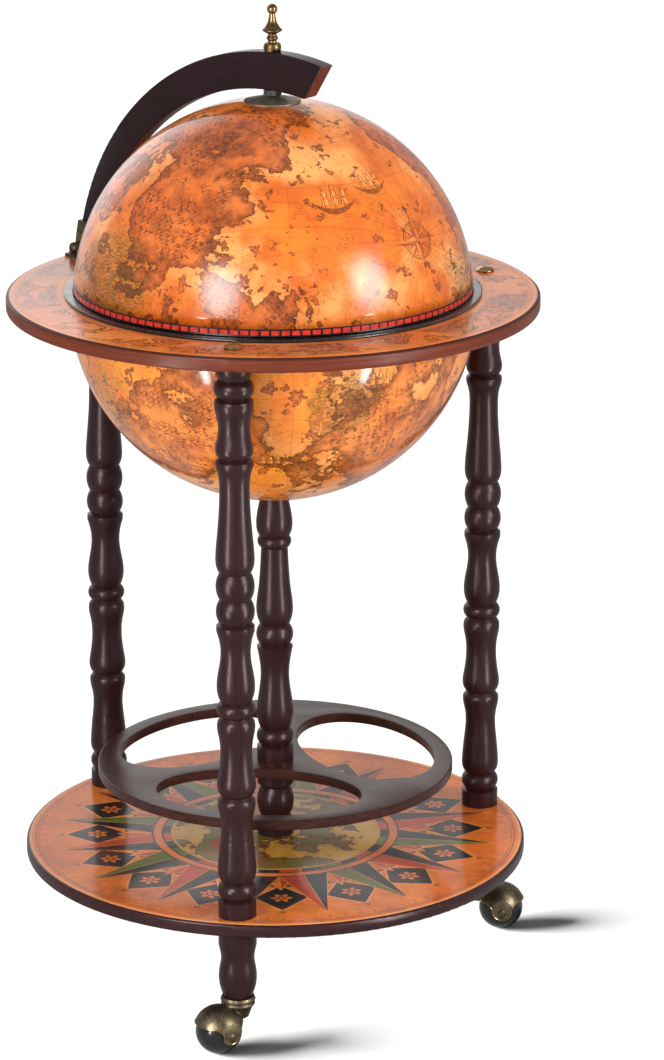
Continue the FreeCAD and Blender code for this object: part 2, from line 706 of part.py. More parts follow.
hood_z = wheel_r + hood_lift
hood_inner_r = wheel_r + ball_gap
hood_outer_r = hood_inner_r + hood_wall
hood_inner_half = wheel_half_width + ball_gap
hood_half = hood_inner_half + hood_side_wall
skirt_z = wheel_r + skirt_above_axle
collar_top = caster_height - side_gap
collar_bottom = collar_top - collar_height


def hood_body(radius, half_width):
    slab = block(caster_trail - radius, caster_trail + radius, half_width, hood_z - radius, hood_z + radius)
    return ball(radius, hood_z, caster_trail).common(slab)


def below_skirt():
    # Everything under the hood's lower edge, apart from the two ears that carry the axle
    reach = hood_outer_r + caster_trail
    below = block(-reach, caster_trail + reach, reach, -reach, skirt_z)
    flank_z = 0.5 * (skirt_z + wheel_r)
    back = V(caster_trail - ear_half_width, 0, skirt_z)
    back_flank = V(caster_trail - ear_flank, 0, flank_z)
    back_waist = V(caster_trail - ear_waist, 0, wheel_r)
    tip = V(caster_trail, 0, wheel_r - ear_drop)
    front_waist = V(caster_trail + ear_waist, 0, wheel_r)
    front_flank = V(caster_trail + ear_flank, 0, flank_z)
    front = V(caster_trail + ear_half_width, 0, skirt_z)
    ear = extruded([run_edge([back, back_flank, back_waist]), run_edge([back_waist, tip, front_waist]),
                    run_edge([front_waist, front_flank, front]), run_edge([front, back])], reach)
    return below.cut(ear)


collar_runs = [
    [(0.86, 0.0), (0.97, 0.22), (0.90, 0.45)],
    [(0.90, 0.45), (0.90, 0.50)],
    [(0.90, 0.50), (1.0, 0.66)],
    [(1.0, 0.66), (0.92, 1.0)],
]
collar = lathe([[(collar_r * radius, collar_bottom + collar_height * height) for radius, height in run]
                for run in collar_runs])
neck = Part.makeCone(caster_neck_foot_r, caster_neck_r, collar_bottom - wheel_r, V(0, 0, wheel_r))
hood = hood_body(hood_outer_r, hood_half).fuse(neck).fuse(collar)
hood = hood.cut(hood_body(hood_inner_r, hood_inner_half)).cut(below_skirt())
stem = cylinder(stem_r, collar_bottom, foot_bottom + stem_length)
hood = hood.cut(cylinder(stem_r, collar_bottom, collar_top))
axle = cross_cylinder(axle_r, hood_half, caster_trail, wheel_r)
hood = hood.cut(axle)
axle_heads = side_heads(axle_head_r, 0.6 * axle_head_r, axle_head_thick, hood_half, caster_trail, wheel_r)
axle = axle.fuse(axle_heads).removeSplitter()
wheel = ball(wheel_r, wheel_r, caster_trail).common(
    block(caster_trail - wheel_r, caster_trail + wheel_r, wheel_half_width, 0.0, 2 * wheel_r))
wheel = wheel.cut(cross_cylinder(axle_r + running_gap, wheel_half_width, caster_trail, wheel_r))
socket = tube(stem_r + running_gap, socket_r, foot_bottom, socket_top)
nodes["caster_sockets"] = Part.makeCompound(around_legs(socket))

caster_pieces = {"caster_stem": stem, "caster_hood": hood, "caster_axle": axle, "caster_wheel": wheel}
for side, azimuth in leg_azimuths.items():
    angle = math.radians(azimuth)
    for name, shape in caster_pieces.items():
        piece = turned_about(shape, caster_azimuths[side] - 90.0)
        piece.translate(V(leg_circle_r * math.sin(angle), -leg_circle_r * math.cos(angle), 0))
        nodes[name + "_" + side] = piece


for name, shape in nodes.items():
    shape.exportStep(os.path.join("parts", name + ".step"))
    print(name, "solids", len(shape.Solids), "volume", round(shape.Volume, 1), "valid", shape.isValid())
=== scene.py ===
# %% [markdown]
# # Dressing a floor globe bar
# The frame already holds every piece of the globe bar at its real size: the two halves of the globe, the
# table ring, the turned legs, the bottle rack, the base shelf and the casters. This lesson gives them their
# finish. Everything is in metres in the frame's own axes, with the floor at zero height and the front leg
# towards -Y, so a new piece can be built straight where it belongs.

# %% Load the frame
import bpy
import bmesh
import json
import math
from functools import partial, reduce
from mathutils import Matrix, Vector


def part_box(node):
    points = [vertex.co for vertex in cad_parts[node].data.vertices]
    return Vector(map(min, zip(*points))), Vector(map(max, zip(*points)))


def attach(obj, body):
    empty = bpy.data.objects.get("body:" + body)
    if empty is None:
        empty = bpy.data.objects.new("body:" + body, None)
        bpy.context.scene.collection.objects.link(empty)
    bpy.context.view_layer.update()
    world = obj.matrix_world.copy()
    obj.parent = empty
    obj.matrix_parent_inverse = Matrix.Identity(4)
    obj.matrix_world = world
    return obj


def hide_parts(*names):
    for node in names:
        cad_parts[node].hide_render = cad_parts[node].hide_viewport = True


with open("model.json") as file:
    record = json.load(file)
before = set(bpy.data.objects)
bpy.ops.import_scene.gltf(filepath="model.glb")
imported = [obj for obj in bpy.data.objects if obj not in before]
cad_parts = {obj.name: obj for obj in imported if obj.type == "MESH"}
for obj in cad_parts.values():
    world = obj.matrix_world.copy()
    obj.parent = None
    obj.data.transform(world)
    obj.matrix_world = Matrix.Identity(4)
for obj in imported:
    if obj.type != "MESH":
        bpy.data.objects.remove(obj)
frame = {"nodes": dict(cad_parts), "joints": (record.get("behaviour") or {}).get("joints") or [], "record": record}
nodes = frame["nodes"]
joints = {joint["name"]: joint for joint in frame["joints"]}
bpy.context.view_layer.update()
MM = 0.001
UPWARD = Vector((0.0, 0.0, 1.0))

# %% [markdown]
# ## Sizes from the frame
# The prints follow the pieces that they are glued to, so their circles and levels are measured on the frame
# and not typed in again. The globe's middle follows from the bowl: it is half as deep as it is wide.

# %% Measure the pieces that carry prints
bowl_low, bowl_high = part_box("bowl")
bowl_radius = (bowl_high.x - bowl_low.x) / 2
globe_middle = Vector((0.0, 0.0, bowl_low.z + bowl_radius))
dome_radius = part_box("dome")[1].z - globe_middle.z
shell_wall = 2.5 * MM
ring_inner = bowl_radius + 2.0 * MM
ring_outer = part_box("ring_print")[1].x
base_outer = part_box("base_print")[1].x
band_low, band_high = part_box("rim_band")
print("globe middle", round(globe_middle.z, 4), "dome radius", round(dome_radius, 4))


def direction(azimuth, latitude):
    """Unit vector from the globe's middle: azimuth 0 is the front, and turns towards +X."""
    turn, rise = math.radians(azimuth), math.radians(latitude)
    return Vector((math.cos(rise) * math.sin(turn), -math.cos(rise) * math.cos(turn), math.sin(rise)))


# %% [markdown]
# ## Camera
# A product picture is taken from far away with a long lens, so that upright things stay upright. The camera
# could be placed by eye. Here its distance, height and tilt are real sizes, because the ring and the base
# show as ellipses whose shapes fix them.


# %% Place the camera
def put(name, data):
    """A new object in the scene."""
    thing = bpy.data.objects.new(name, data)
    bpy.context.scene.collection.objects.link(thing)
    return thing


picture_height = 1060
focal_pixels = 4280.03
camera_distance = 3.46657
camera_height = 1.45716
camera_azimuth = math.radians(9.5)
camera_yaw = 0.0141
camera_pitch = 0.2986
sensor = 36.0

heading = camera_azimuth - camera_yaw
forward = Vector((-math.sin(heading) * math.cos(camera_pitch), math.cos(heading) * math.cos(camera_pitch),
                  -math.sin(camera_pitch)))
right = Vector((math.cos(heading), math.sin(heading), 0.0))
up = right.cross(forward)
camera_data = bpy.data.cameras.new("camera")
camera_data.sensor_fit = "VERTICAL"
camera_data.sensor_height = sensor
camera_data.lens = focal_pixels / picture_height * sensor
camera = put("camera", camera_data)
turn = Matrix((right, up, -forward)).transposed().to_4x4()
place = Vector((camera_distance * math.sin(camera_azimuth), -camera_distance * math.cos(camera_azimuth),
                camera_height))
camera.matrix_world = Matrix.Translation(place) @ turn
bpy.context.scene.camera = camera
print("camera lens", round(camera_data.lens, 2), "mm at", [round(v, 3) for v in place])

# %% [markdown]
# ## Finishes
# A finish is a material made of nodes. Linking nodes by hand takes many lines, so a small kit adds one node
# per call and hands back its output. The finishes below then read like recipes.


# %% A small kit for mixing finishes
def ink(red, green, blue):
    """A colour as it would be picked on screen, 0 to 255, in the renderer's linear values."""
    values = [channel / 255.0 for channel in (red, green, blue)]
    return tuple(v / 12.92 if v <= 0.04045 else ((v + 0.055) / 1.055) ** 2.4 for v in values) + (1.0,)


class Bench:
    """A node tree in the making: add() sets up one node and links what it is given."""
    family = "ShaderNode"

    def plug(self, socket, value):
        if isinstance(value, bpy.types.NodeSocket):
            self.tree.links.new(value, socket)
        else:
            socket.default_value = value

    def add(self, kind, inputs=None, family=None, **settings):
        node = self.tree.nodes.new((family or self.family) + kind)
        for key, value in settings.items():
            setattr(node, key, value)
        for key, value in (inputs or {}).items():
            self.plug(node.inputs[key], value)
        return node


class Recipe(Bench):
    """Words for a shader tree: each adds a node and returns its output."""

    def __init__(self, tree):
        self.tree = tree

    def place(self):
        return self.add("TexCoord").outputs["Object"]

    def math(self, operation, *values):
        return self.add("Math", dict(enumerate(values)), operation=operation).outputs[0]

    def vector(self, operation, *values):
        outputs = self.add("VectorMath", dict(enumerate(values)), operation=operation).outputs
        return outputs["Value" if operation in ("DOT_PRODUCT", "LENGTH", "DISTANCE") else "Vector"]

    def dot(self, first, second):
        return self.vector("DOT_PRODUCT", first, second)

    def plus(self, first, second):
        return self.math("ADD", first, second)

    def minus(self, first, second):
        return self.math("SUBTRACT", first, second)

    def over(self, first, second):
        return self.math("DIVIDE", first, second)

    def size(self, value):
        return self.math("ABSOLUTE", value)

    def slope(self, value, factor, start):
        """A straight rise: the value times a factor, counted from a start."""
        return self.math("MULTIPLY_ADD", value, factor, start)

    def split(self, vector):
        return self.add("SeparateXYZ", {"Vector": vector}).outputs

    def stretch(self, vector, scale, turn=(0.0, 0.0, 0.0)):
        return self.add("Mapping", {"Vector": vector, "Scale": scale, "Rotation": turn}).outputs[0]

    def noise(self, vector, scale, detail=3.0, roughness=0.5, distortion=0.0):
        return self.add("TexNoise", {"Vector": vector, "Scale": scale, "Detail": detail,
                                     "Roughness": roughness, "Distortion": distortion}).outputs["Fac"]

    def fade(self, value, start, end, low=0.0, high=1.0):
        """A soft step: low up to start, high from end on."""
        node = self.add("MapRange", {"Value": value, "From Min": start, "From Max": end, "To Min": low,
                                     "To Max": high}, interpolation_type="SMOOTHSTEP")
        return node.outputs[0]

    def drop(self, value, start, end):
        """A soft step down: 1 up to start, 0 from end on."""
        return self.fade(value, start, end, 1.0, 0.0)

    def line(self, distance, half_width):
        """1 on a drawn line and 0 beside it; the distance is measured from the line's middle."""
        return self.drop(self.size(distance), 0.6 * half_width, 1.4 * half_width)

    def rule(self, value, level, half_width):
        """A drawn line where the value meets a level."""
        return self.line(self.minus(value, level), half_width)

    def most(self, *values):
        return reduce(partial(self.math, "MAXIMUM"), values)

    def times(self, *values):
        return reduce(partial(self.math, "MULTIPLY"), values)

    def cell(self, value, count):
        """Cuts the value into equal cells and returns the place in the cell, from -0.5 to 0.5."""
        shifted = self.plus(self.times(value, count), 0.5)
        return self.minus(self.math("FRACT", shifted), 0.5)

    def polar(self, x, y):
        """Radius, and the angle in whole turns."""
        radius = self.math("SQRT", self.plus(self.times(x, x), self.times(y, y)))
        return radius, self.over(self.math("ARCTAN2", y, x), math.tau)

    def flat_place(self):
        """The place itself, with its radius and angle round the globe's axis."""
        place = self.place()
        return place, *self.polar(*self.split(place)[:2])

    def star(self, radius, cell, count, tip, root):
        """Above 0 inside a ring of straight-sided star points, with tips and roots at these radii."""
        half = math.pi / count
        angle = self.times(self.size(cell), 2 * half)
        tip_side = self.times(self.math("SINE", angle), tip)
        root_side = self.times(self.math("SINE", self.minus(half, angle)), root)
        edge = self.over(tip * root * math.sin(half), self.plus(tip_side, root_side))
        return self.minus(edge, radius)

    def blend(self, amount, under, over):
        return self.add("Mix", {0: amount, 6: under, 7: over}, data_type="RGBA").outputs[2]

    def coats(self, colour, *layers):
        """Lays colours over one another, each by its own amount."""
        for amount, shade in layers:
            colour = self.blend(amount, colour, shade)
        return colour

    def bump(self, height, depth, strength):
        return self.add("Bump", {"Height": height, "Distance": depth, "Strength": strength}).outputs["Normal"]


class Finish(Recipe):
    """One material in the making."""

    def __init__(self, name):
        self.material = bpy.data.materials.new(name)
        self.material.use_nodes = True
        super().__init__(self.material.node_tree)
        self.tree.nodes.clear()

    def done(self, **inputs):
        """Closes the recipe with the surface shader: each key is one of its sockets, with _ for a space."""
        shader = self.add("BsdfPrincipled", {key.replace("_", " "): value for key, value in inputs.items()})
        self.add("OutputMaterial", {"Surface": shader.outputs[0]})
        return self.material


print("finish kit ready")

# %% [markdown]
# ## Studio
# The picture has a white ground, and two soft lamps mirrored in the globe. Strong lamps would bleach the
# colours, so the lamps stay at a plain level, and a low sun that reaches the floor alone makes the floor
# white. It is set up further down, once the casters that stop it are dressed. The floor is paler to the
# camera than to the light that bounces off it, so that little of it comes back from below.

# %% Floor, world and lamps
FLOOR_GREYS = {"Is Camera Ray": 0.105, "Is Diffuse Ray": 0.054, "Is Glossy Ray": 0.04}
SKY_LEVEL = 0.36
SKY_EXTRAS = {"Is Camera Ray": 0.64, "Is Glossy Ray": 0.04}


def by_ray(mix, level, extras):
    """A level with something extra for some kinds of ray."""
    rays = mix.add("LightPath").outputs
    for kind, extra in extras.items():
        level = mix.slope(rays[kind], extra, level)
    return level


def studio_floor():
    mix = Finish("studio floor")
    matte = mix.add("BsdfDiffuse", {"Color": by_ray(mix, 0.0, FLOOR_GREYS)})
    mix.add("OutputMaterial", {"Surface": matte.outputs[0]})
    return mix.material


floor_half = 20.0
floor_mesh = bpy.data.meshes.new("floor")
corners = [(-floor_half, -floor_half, 0), (floor_half, -floor_half, 0), (floor_half, floor_half, 0),
           (-floor_half, floor_half, 0)]
floor_mesh.from_pydata(corners, [], [(0, 1, 2, 3)])
floor_mesh.materials.append(studio_floor())
floor = put("floor", floor_mesh)

world = bpy.data.worlds.new("studio")
bpy.context.scene.world = world
world.use_nodes = True
sky = Recipe(world.node_tree)
background = sky.tree.nodes["Background"].inputs
sky.plug(background["Color"], (1.0, 1.0, 1.0, 1.0))
sky.plug(background["Strength"], by_ray(sky, SKY_LEVEL, SKY_EXTRAS))
bpy.context.scene.view_settings.view_transform = "Standard"


def softbox(name, place, aim, width, height, watts, core=2.4, edge=0.15, lights=True, mirrored=True):
    """A lamp behind cloth: brightest in its middle, so that its mirror image has no hard edge."""
    lamp = bpy.data.lights.new(name, "AREA")
    lamp.shape = "RECTANGLE"
    lamp.size, lamp.size_y, lamp.energy = width, height, watts
    lamp.use_nodes = True
    cloth = Recipe(lamp.node_tree)
    spot = cloth.add("NewGeometry").outputs["Parametric"]
    off_middle = cloth.vector("DISTANCE", spot, (0.5, 0.5, 0.0))
    glow = cloth.fade(off_middle, 0.15, 0.55, core, edge)
    cloth.plug(cloth.tree.nodes["Emission"].inputs["Strength"], glow)
    holder = put(name, lamp)
    holder.rotation_euler = (Vector(aim) - Vector(place)).to_track_quat("-Z", "Y").to_euler()
    holder.location = place
    holder.visible_camera = False
    holder.visible_diffuse = lights
    holder.visible_glossy = mirrored
    return holder


def around(azimuth, distance, height):
    """A place beside the object: azimuth 0 is the front, and turns towards +X."""
    return distance * direction(azimuth, 0.0) + height * UPWARD


front_lamps = [softbox(name + "_box", around(azimuth, 2.0, 1.12), globe_middle, width=1.0, height=1.2,
                       watts=watts, core=2.6, edge=0.2)
               for name, azimuth, watts in (("left", -21.0, 23.0), ("right", 66.0, 21.0))]
front_lamps += [softbox(name + "_strip", around(azimuth, 0.95, 0.26), (0.0, 0.0, 0.34), width=0.1, height=0.7,
                        watts=3.6)
                for name, azimuth in (("left", -28.0), ("right", 61.0))]
softbox("top_box", (0.2, 0.3, 2.4), (0.0, 0.0, 0.4), width=1.6, height=1.6, watts=16.0, mirrored=False)
softbox("low_fill", around(0.0, 1.5, 0.14), (0.0, 0.0, 0.5), width=1.6, height=0.24, watts=3.0,
        mirrored=False)
softbox("back_card", around(210.0, 2.6, 1.3), (0.0, 0.0, 0.5), width=3.4, height=2.4, watts=24.0, core=1.3,
        edge=0.35, lights=False)
print("studio: floor, world and", len(bpy.data.lights), "lamps")

# %% [markdown]
# ## The globe's map
# The globe is covered in paper printed as an old sea chart, then varnished. An image would be the quick way,
# but a drawn rule keeps sharp at any distance. Land is where a rough noise rises above sea level, helped by a
# few broad swellings that place the continents. Shores, hills, a compass rose, ships and the net of meridians
# are lines measured from that ground.

# %% Colours and motifs of the chart
CHART_INK = ink(74, 36, 18)
OLIVE = ink(98, 80, 26)
DOME_TONES = {"sea": ink(224, 118, 38), "pale": ink(240, 158, 88), "deep": ink(200, 94, 30),
              "land": ink(212, 104, 42), "wash": ink(162, 74, 34)}
# The bowl carries the same print as the dome, but its tones are set lighter. This is painted light, which lifts
# the lower half where it faces down into shade.
BOWL_TONES_PAINTED_LIGHTER = {"sea": ink(234, 140, 52), "pale": ink(240, 160, 88), "deep": ink(216, 114, 40),
              "land": ink(222, 126, 58), "wash": ink(178, 90, 42)}
HILL_ROWS = 44.0
HILLS_ROUND = 170.0


def local_frame(mix, toward, azimuth, latitude):
    """Flat coordinates round one spot of the globe, in globe radii: to the east and to the north."""
    middle = direction(azimuth, latitude)
    east = UPWARD.cross(middle).normalized()
    north = middle.cross(east)
    x = mix.dot(toward, east)
    y = mix.dot(toward, north)
    facing = mix.fade(mix.dot(toward, middle), 0.1, 0.3)
    return x, y, facing


def compass_rose(mix, toward, azimuth, latitude, size):
    """A sixteen-point rose in two rings: returns its line work and its shaded halves."""
    x, y, facing = local_frame(mix, toward, azimuth, latitude)
    radius, angle = mix.polar(mix.over(x, size), mix.over(y, size))
    circles = ((0.62, 0.022), (0.54, 0.014), (0.14, 0.02))
    lines = mix.most(*(mix.rule(radius, *circle) for circle in circles))
    shade = 0.0
    for count, start, tip, root in ((8, 1 / 16, 0.56, 0.2), (4, 1 / 8, 0.78, 0.2), (4, 0.0, 1.0, 0.22)):
        cell = mix.cell(mix.plus(angle, start), count)
        inside = mix.star(radius, cell, count, tip, root)
        body = mix.fade(inside, -0.005, 0.005)
        outline = mix.line(inside, 0.016)
        half = mix.times(body, mix.math("GREATER_THAN", cell, 0.0))
        lines = mix.most(mix.times(lines, mix.minus(1.0, body)), outline)
        shade = mix.most(mix.times(shade, mix.minus(1.0, body)), half)
    ray_place = mix.times(mix.cell(angle, 32), radius, math.tau / 32)
    reach = mix.fade(radius, 0.62, 0.7)
    rays = mix.times(mix.line(ray_place, 0.014), reach, mix.drop(radius, 7.0, 9.0))
    return (mix.times(lines, facing), mix.times(shade, facing), mix.times(rays, facing))


def sailing_ship(mix, toward, azimuth, latitude, size):
    """A three-masted ship on a few waves: returns its dark strokes and its pale sails."""
    east, north, facing = local_frame(mix, toward, azimuth, latitude)
    x, y = mix.over(east, size), mix.over(north, size)
    bow = mix.times(x, x)
    deck = mix.minus(mix.slope(bow, 0.34, -0.34), y)
    keel = mix.minus(y, mix.slope(bow, 0.55, -0.72))
    hull = mix.times(mix.fade(deck, 0.0, 0.05), mix.fade(keel, 0.0, 0.05))
    across = mix.times(mix.cell(x, 2.0), 0.5)
    within = mix.drop(mix.size(x), 0.68, 0.74)
    mast_top = mix.minus(mix.slope(bow, -0.6, 0.98), y)
    mast = mix.times(mix.line(across, 0.02), mix.fade(mast_top, 0.0, 0.03), within,
                     mix.fade(y, -0.4, -0.36))
    row = mix.cell(mix.minus(y, 0.02), 2.4)
    belly = mix.minus(across, mix.slope(mix.times(row, row), -0.32, 0.07))
    narrow = mix.slope(y, -0.09, 0.17)
    side = mix.minus(narrow, mix.size(belly))
    foot = mix.minus(0.4, mix.size(row))
    rigged = mix.times(within, mix.fade(y, -0.21, -0.19), mix.fade(mast_top, 0.16, 0.18))
    sail = mix.times(mix.fade(mix.math("MINIMUM", side, foot), 0.0, 0.015), rigged)
    hem = mix.times(mix.line(mix.math("MINIMUM", side, foot), 0.022), rigged)
    swell = mix.math("SINE", mix.times(x, 9.0))
    waves = mix.line(mix.cell(mix.slope(swell, 0.03, y), 8.0), 0.1)
    afloat = mix.times(mix.fade(y, -0.98, -0.9), mix.drop(y, -0.66, -0.6),
                       mix.drop(mix.size(x), 0.7, 1.1))
    strokes = mix.most(mix.times(hull, 0.85), mast, hem, mix.times(waves, afloat, 0.7))
    return mix.times(strokes, facing), mix.times(sail, facing)


def hill_rows(mix, turn, latitude, sway):
    """Small arched hills in rows round the globe, shaded on one flank; fewer fit a row near the pole."""
    level = mix.slope(latitude, HILL_ROWS, mix.times(sway, 2.6))
    row = mix.math("FLOOR", level)
    rise = mix.minus(level, row)
    girth = mix.math("COSINE", mix.over(row, HILL_ROWS))
    count = mix.math("FLOOR", mix.times(girth, HILLS_ROUND))
    shift = mix.slope(row, 0.37, mix.times(sway, 1.8))
    column = mix.slope(turn, count, shift)
    across = mix.cell(column, 1.0)
    arch = mix.slope(mix.times(across, across), -2.4, 0.8)
    under = mix.minus(arch, rise)
    crest = mix.line(under, 0.1)
    flank = mix.times(mix.fade(under, 0.0, 0.1), mix.fade(across, -0.05, 0.2))
    lot = mix.add("CombineXYZ", {"X": mix.math("FLOOR", mix.plus(column, 0.5)), "Y": row})
    chance = mix.add("TexWhiteNoise", {"Vector": lot.outputs[0]}, noise_dimensions="2D").outputs["Value"]
    return mix.times(mix.most(crest, mix.times(flank, 0.85)), mix.fade(chance, 0.2, 0.35))


print("chart: rose, ship and hill motifs ready")


# %% Mix the chart
def chart_print(name, radius, tones, lands, meadows, rose, ships, seed):
    mix = Finish(name)
    offset = mix.vector("SUBTRACT", mix.place(), globe_middle)
    toward = mix.vector("NORMALIZE", offset)
    moved = mix.vector("ADD", toward, (seed, 0.4 * seed, -0.7 * seed))

    def near(azimuth, latitude, spread, height):
        """A swelling of the ground about one spot of the globe, or a hollow if the height is below 0."""
        nearness = mix.dot(toward, direction(azimuth, latitude))
        return mix.fade(nearness, math.cos(math.radians(spread)), 1.0, 0.0, height)

    ground = mix.noise(moved, 2.6, 9.0, 0.62, 0.3)
    for spot in lands:
        ground = mix.plus(ground, near(*spot))
    mainland = mix.minus(ground, 0.6)
    islets = mix.minus(mix.noise(moved, 12.0, 4.0, 0.6), 0.6)
    near_land = mix.fade(mainland, -0.46, -0.2, -0.3, 0.0)
    shore = mix.most(mainland, mix.plus(islets, near_land))
    land = mix.fade(shore, -0.003, 0.003)
    sea = mix.minus(1.0, land)

    mottle = mix.noise(moved, 5.0, 5.0, 0.6)
    pale = mix.fade(mix.noise(moved, 3.1, 3.0), 0.45, 0.68)
    earthy = mix.fade(mix.noise(moved, 9.0, 5.0, 0.65), 0.4, 0.62)
    paper = mix.coats(tones["deep"], (mix.fade(mottle, 0.35, 0.65), tones["sea"]), (pale, tones["pale"]),
                      (mix.times(land, 0.85), mix.blend(earthy, tones["land"], tones["wash"])))

    rough = mix.noise(moved, 60.0, 3.0, 0.6)
    strokes = mix.noise(mix.stretch(moved, (34.0, 34.0, 120.0), (0.25, 0.1, 0.0)), 1.0, 3.0, 0.6)
    hatch = mix.fade(strokes, 0.42, 0.58)
    for spot in meadows:
        patch = mix.fade(mix.plus(near(*spot), mix.times(mottle, 0.8)), 0.6, 0.9)
        paper = mix.blend(mix.times(patch, mix.slope(hatch, 0.6, 0.3)), paper, OLIVE)

    x, y, z = mix.split(toward)
    flat, turn = mix.polar(x, y)
    latitude = mix.math("ARCTAN2", z, flat)
    hilly = mix.fade(mix.noise(moved, 5.5, 4.0), 0.4, 0.5, 0.12, 1.0)
    rows = hill_rows(mix, turn, latitude, mix.noise(moved, 22.0, 3.0, 0.6))
    hills = mix.times(rows, hilly, land, 0.9)
    choppy = mix.fade(mix.noise(mix.vector("ADD", moved, (3.0, 1.0, 2.0)), 6.0, 3.0), 0.5, 0.6)
    ripples = mix.times(rows, choppy, sea, 0.42)
    inner_edge = mix.times(land, mix.drop(shore, 0.0, 0.1), mix.fade(rough, 0.2, 0.5))
    outer_edge = mix.times(sea, mix.fade(shore, -0.03, 0.0), hatch)
    coast = mix.most(mix.line(shore, 0.006), mix.times(inner_edge, 0.75), mix.times(outer_edge, 0.5))

    meridian = mix.times(mix.cell(turn, 24.0), flat, math.tau / 24)
    parallel = mix.times(mix.cell(mix.over(latitude, math.pi), 12.0), math.pi / 12)
    net = mix.most(mix.line(meridian, 0.0018), mix.line(parallel, 0.0018))

    rose_lines, rose_shade, rays = compass_rose(mix, toward, *rose)
    drawn = mix.most(coast, hills, ripples, mix.times(net, 0.34),
                     mix.times(rays, sea, 0.36), mix.times(rose_lines, 0.9))
    sails = 0.0
    for ship in ships:
        ship_strokes, ship_sails = sailing_ship(mix, toward, *ship)
        drawn = mix.most(mix.times(drawn, mix.minus(1.0, ship_sails)), mix.times(ship_strokes, 0.92))
        sails = mix.most(sails, ship_sails)
    wear = mix.fade(mix.noise(moved, 45.0, 4.0, 0.7), 0.3, 0.6, 0.65, 1.0)
    depth = mix.minus(radius, mix.vector("LENGTH", offset))
    inside = mix.fade(depth, 0.3 * shell_wall, 0.7 * shell_wall)
    lining = mix.blend(mix.fade(mottle, 0.3, 0.7), ink(150, 84, 40), ink(176, 104, 52))
    colour = mix.coats(paper, (mix.times(sails, 0.5), tones["pale"]),
                       (mix.times(rose_shade, 0.9), tones["wash"]), (mix.times(drawn, wear), CHART_INK),
                       (inside, lining))
    gloss = mix.fade(mix.noise(toward, 30.0, 3.0), 0.3, 0.7, 0.3, 0.42)
    return mix.done(Base_Color=colour, Roughness=gloss, Specular_IOR_Level=0.08, Coat_Weight=0.85,
                    Coat_Roughness=0.1)


dome_lands = ((-18, 52, 38, 0.18), (-34, 28, 22, 0.12), (6, 12, 22, 0.15), (48, 36, 38, -0.2),
              (110, 44, 30, 0.2), (150, 30, 60, 0.2))
dome_meadows = ((84, 8, 22, 0.45), (-46, 10, 26, 0.5))
dome_ships = ((32, 40, 0.1), (50, 44, 0.085), (-62, 30, 0.08))
dome_chart = chart_print("dome chart", dome_radius, DOME_TONES, dome_lands, dome_meadows, (60, 25, 0.15),
                         dome_ships, 3.7)
bowl_lands = ((-24, -26, 34, 0.2), (58, -34, 40, 0.2), (170, -30, 60, 0.2))
bowl_meadows = ((30, -18, 16, 0.45), (-50, -20, 20, 0.4))
bowl_ships = ((40, -12, 0.08), (8, -38, 0.07))
bowl_chart = chart_print("bowl chart", bowl_radius, BOWL_TONES_PAINTED_LIGHTER, bowl_lands, bowl_meadows, (24, -22, 0.11),
                         bowl_ships, 8.2)
print("chart: dome and bowl mixed")

# %% [markdown]
# ## Dark turned wood
# Legs, feet, columns, rack, arm and base edge are stained almost black, with a breath of purple, under a
# satin lacquer. The grain only shows as faint long streaks, so a noise stretched along the grain is enough.
# What differs from piece to piece is the way that the grain runs: up a leg, across a board, or round the
# arm's arch.

# %% Which way the grain runs
hinge_place = joints["lid_hinge"]["pos_m"]
arm_heading = Vector((hinge_place[0], hinge_place[1], 0.0)).normalized()
arm_side = UPWARD.cross(arm_heading)


def grain_across(mix):
    """Coordinates whose third axis runs along the grain, as the plain place does in an upright piece."""
    x, y, z = mix.split(mix.place())
    return mix.add("CombineXYZ", {"X": y, "Y": z, "Z": x}).outputs[0]


def grain_round(mix):
    """The arm is sawn along its arch, so its grain goes round the globe's middle."""
    offset = mix.vector("SUBTRACT", mix.place(), globe_middle)
    reach = mix.dot(offset, arm_heading)
    side = mix.dot(offset, arm_side)
    radius, turn = mix.polar(reach, mix.split(offset)[2])
    along = mix.times(turn, math.tau * dome_radius)
    return mix.add("CombineXYZ", {"X": radius, "Y": side, "Z": along}).outputs[0]


print("grain: across the boards and round the arm")


# %% Espresso stain
def espresso_wood(name, grain_place, lit_end_grain=None, deep=ink(32, 16, 17), bright=ink(42, 21, 22)):
    mix = Finish(name)
    place = grain_place(mix)
    grain = mix.noise(mix.stretch(place, (90.0, 90.0, 6.0)), 3.0, 5.0, 0.6, 0.4)
    fine = mix.noise(mix.stretch(place, (450.0, 450.0, 30.0)), 2.0, 3.0)
    cloud = mix.noise(place, 14.0, 3.0)
    clouded = mix.fade(cloud, 0.4, 0.7, 0.0, 0.3)
    colour = mix.coats(deep, (mix.fade(grain, 0.3, 0.72), bright), (clouded, ink(44, 24, 29)))
    # The arm's end face is painted lighter red-brown. This is partly end grain, which takes the stain differently,
    # and partly painted light standing in for the lamp light that the end face catches.
    if lit_end_grain:
        normal = mix.add("TexCoord").outputs["Normal"]
        facing = mix.dot(normal, lit_end_grain)
        colour = mix.blend(mix.fade(facing, 0.6, 0.8, 0.0, 0.75), colour, ink(96, 38, 22))
    gloss = mix.fade(grain, 0.3, 0.7, 0.27, 0.33)
    lacquer = mix.bump(fine, 0.00005, 0.3)
    return mix.done(Base_Color=colour, Roughness=gloss, Normal=lacquer, Specular_IOR_Level=0.33,
                    Specular_Tint=(1.0, 0.8, 0.82, 1.0))


upright_wood = espresso_wood("espresso wood upright", Finish.place)
board_wood = espresso_wood("espresso wood board", grain_across, None, ink(38, 19, 20), ink(48, 24, 26))
rack_wood = espresso_wood("espresso wood rack", grain_across, None, ink(44, 22, 18), ink(62, 34, 26))
arm_wood = espresso_wood("espresso wood arm", grain_round, -arm_heading, ink(25, 10, 13), ink(31, 13, 16))


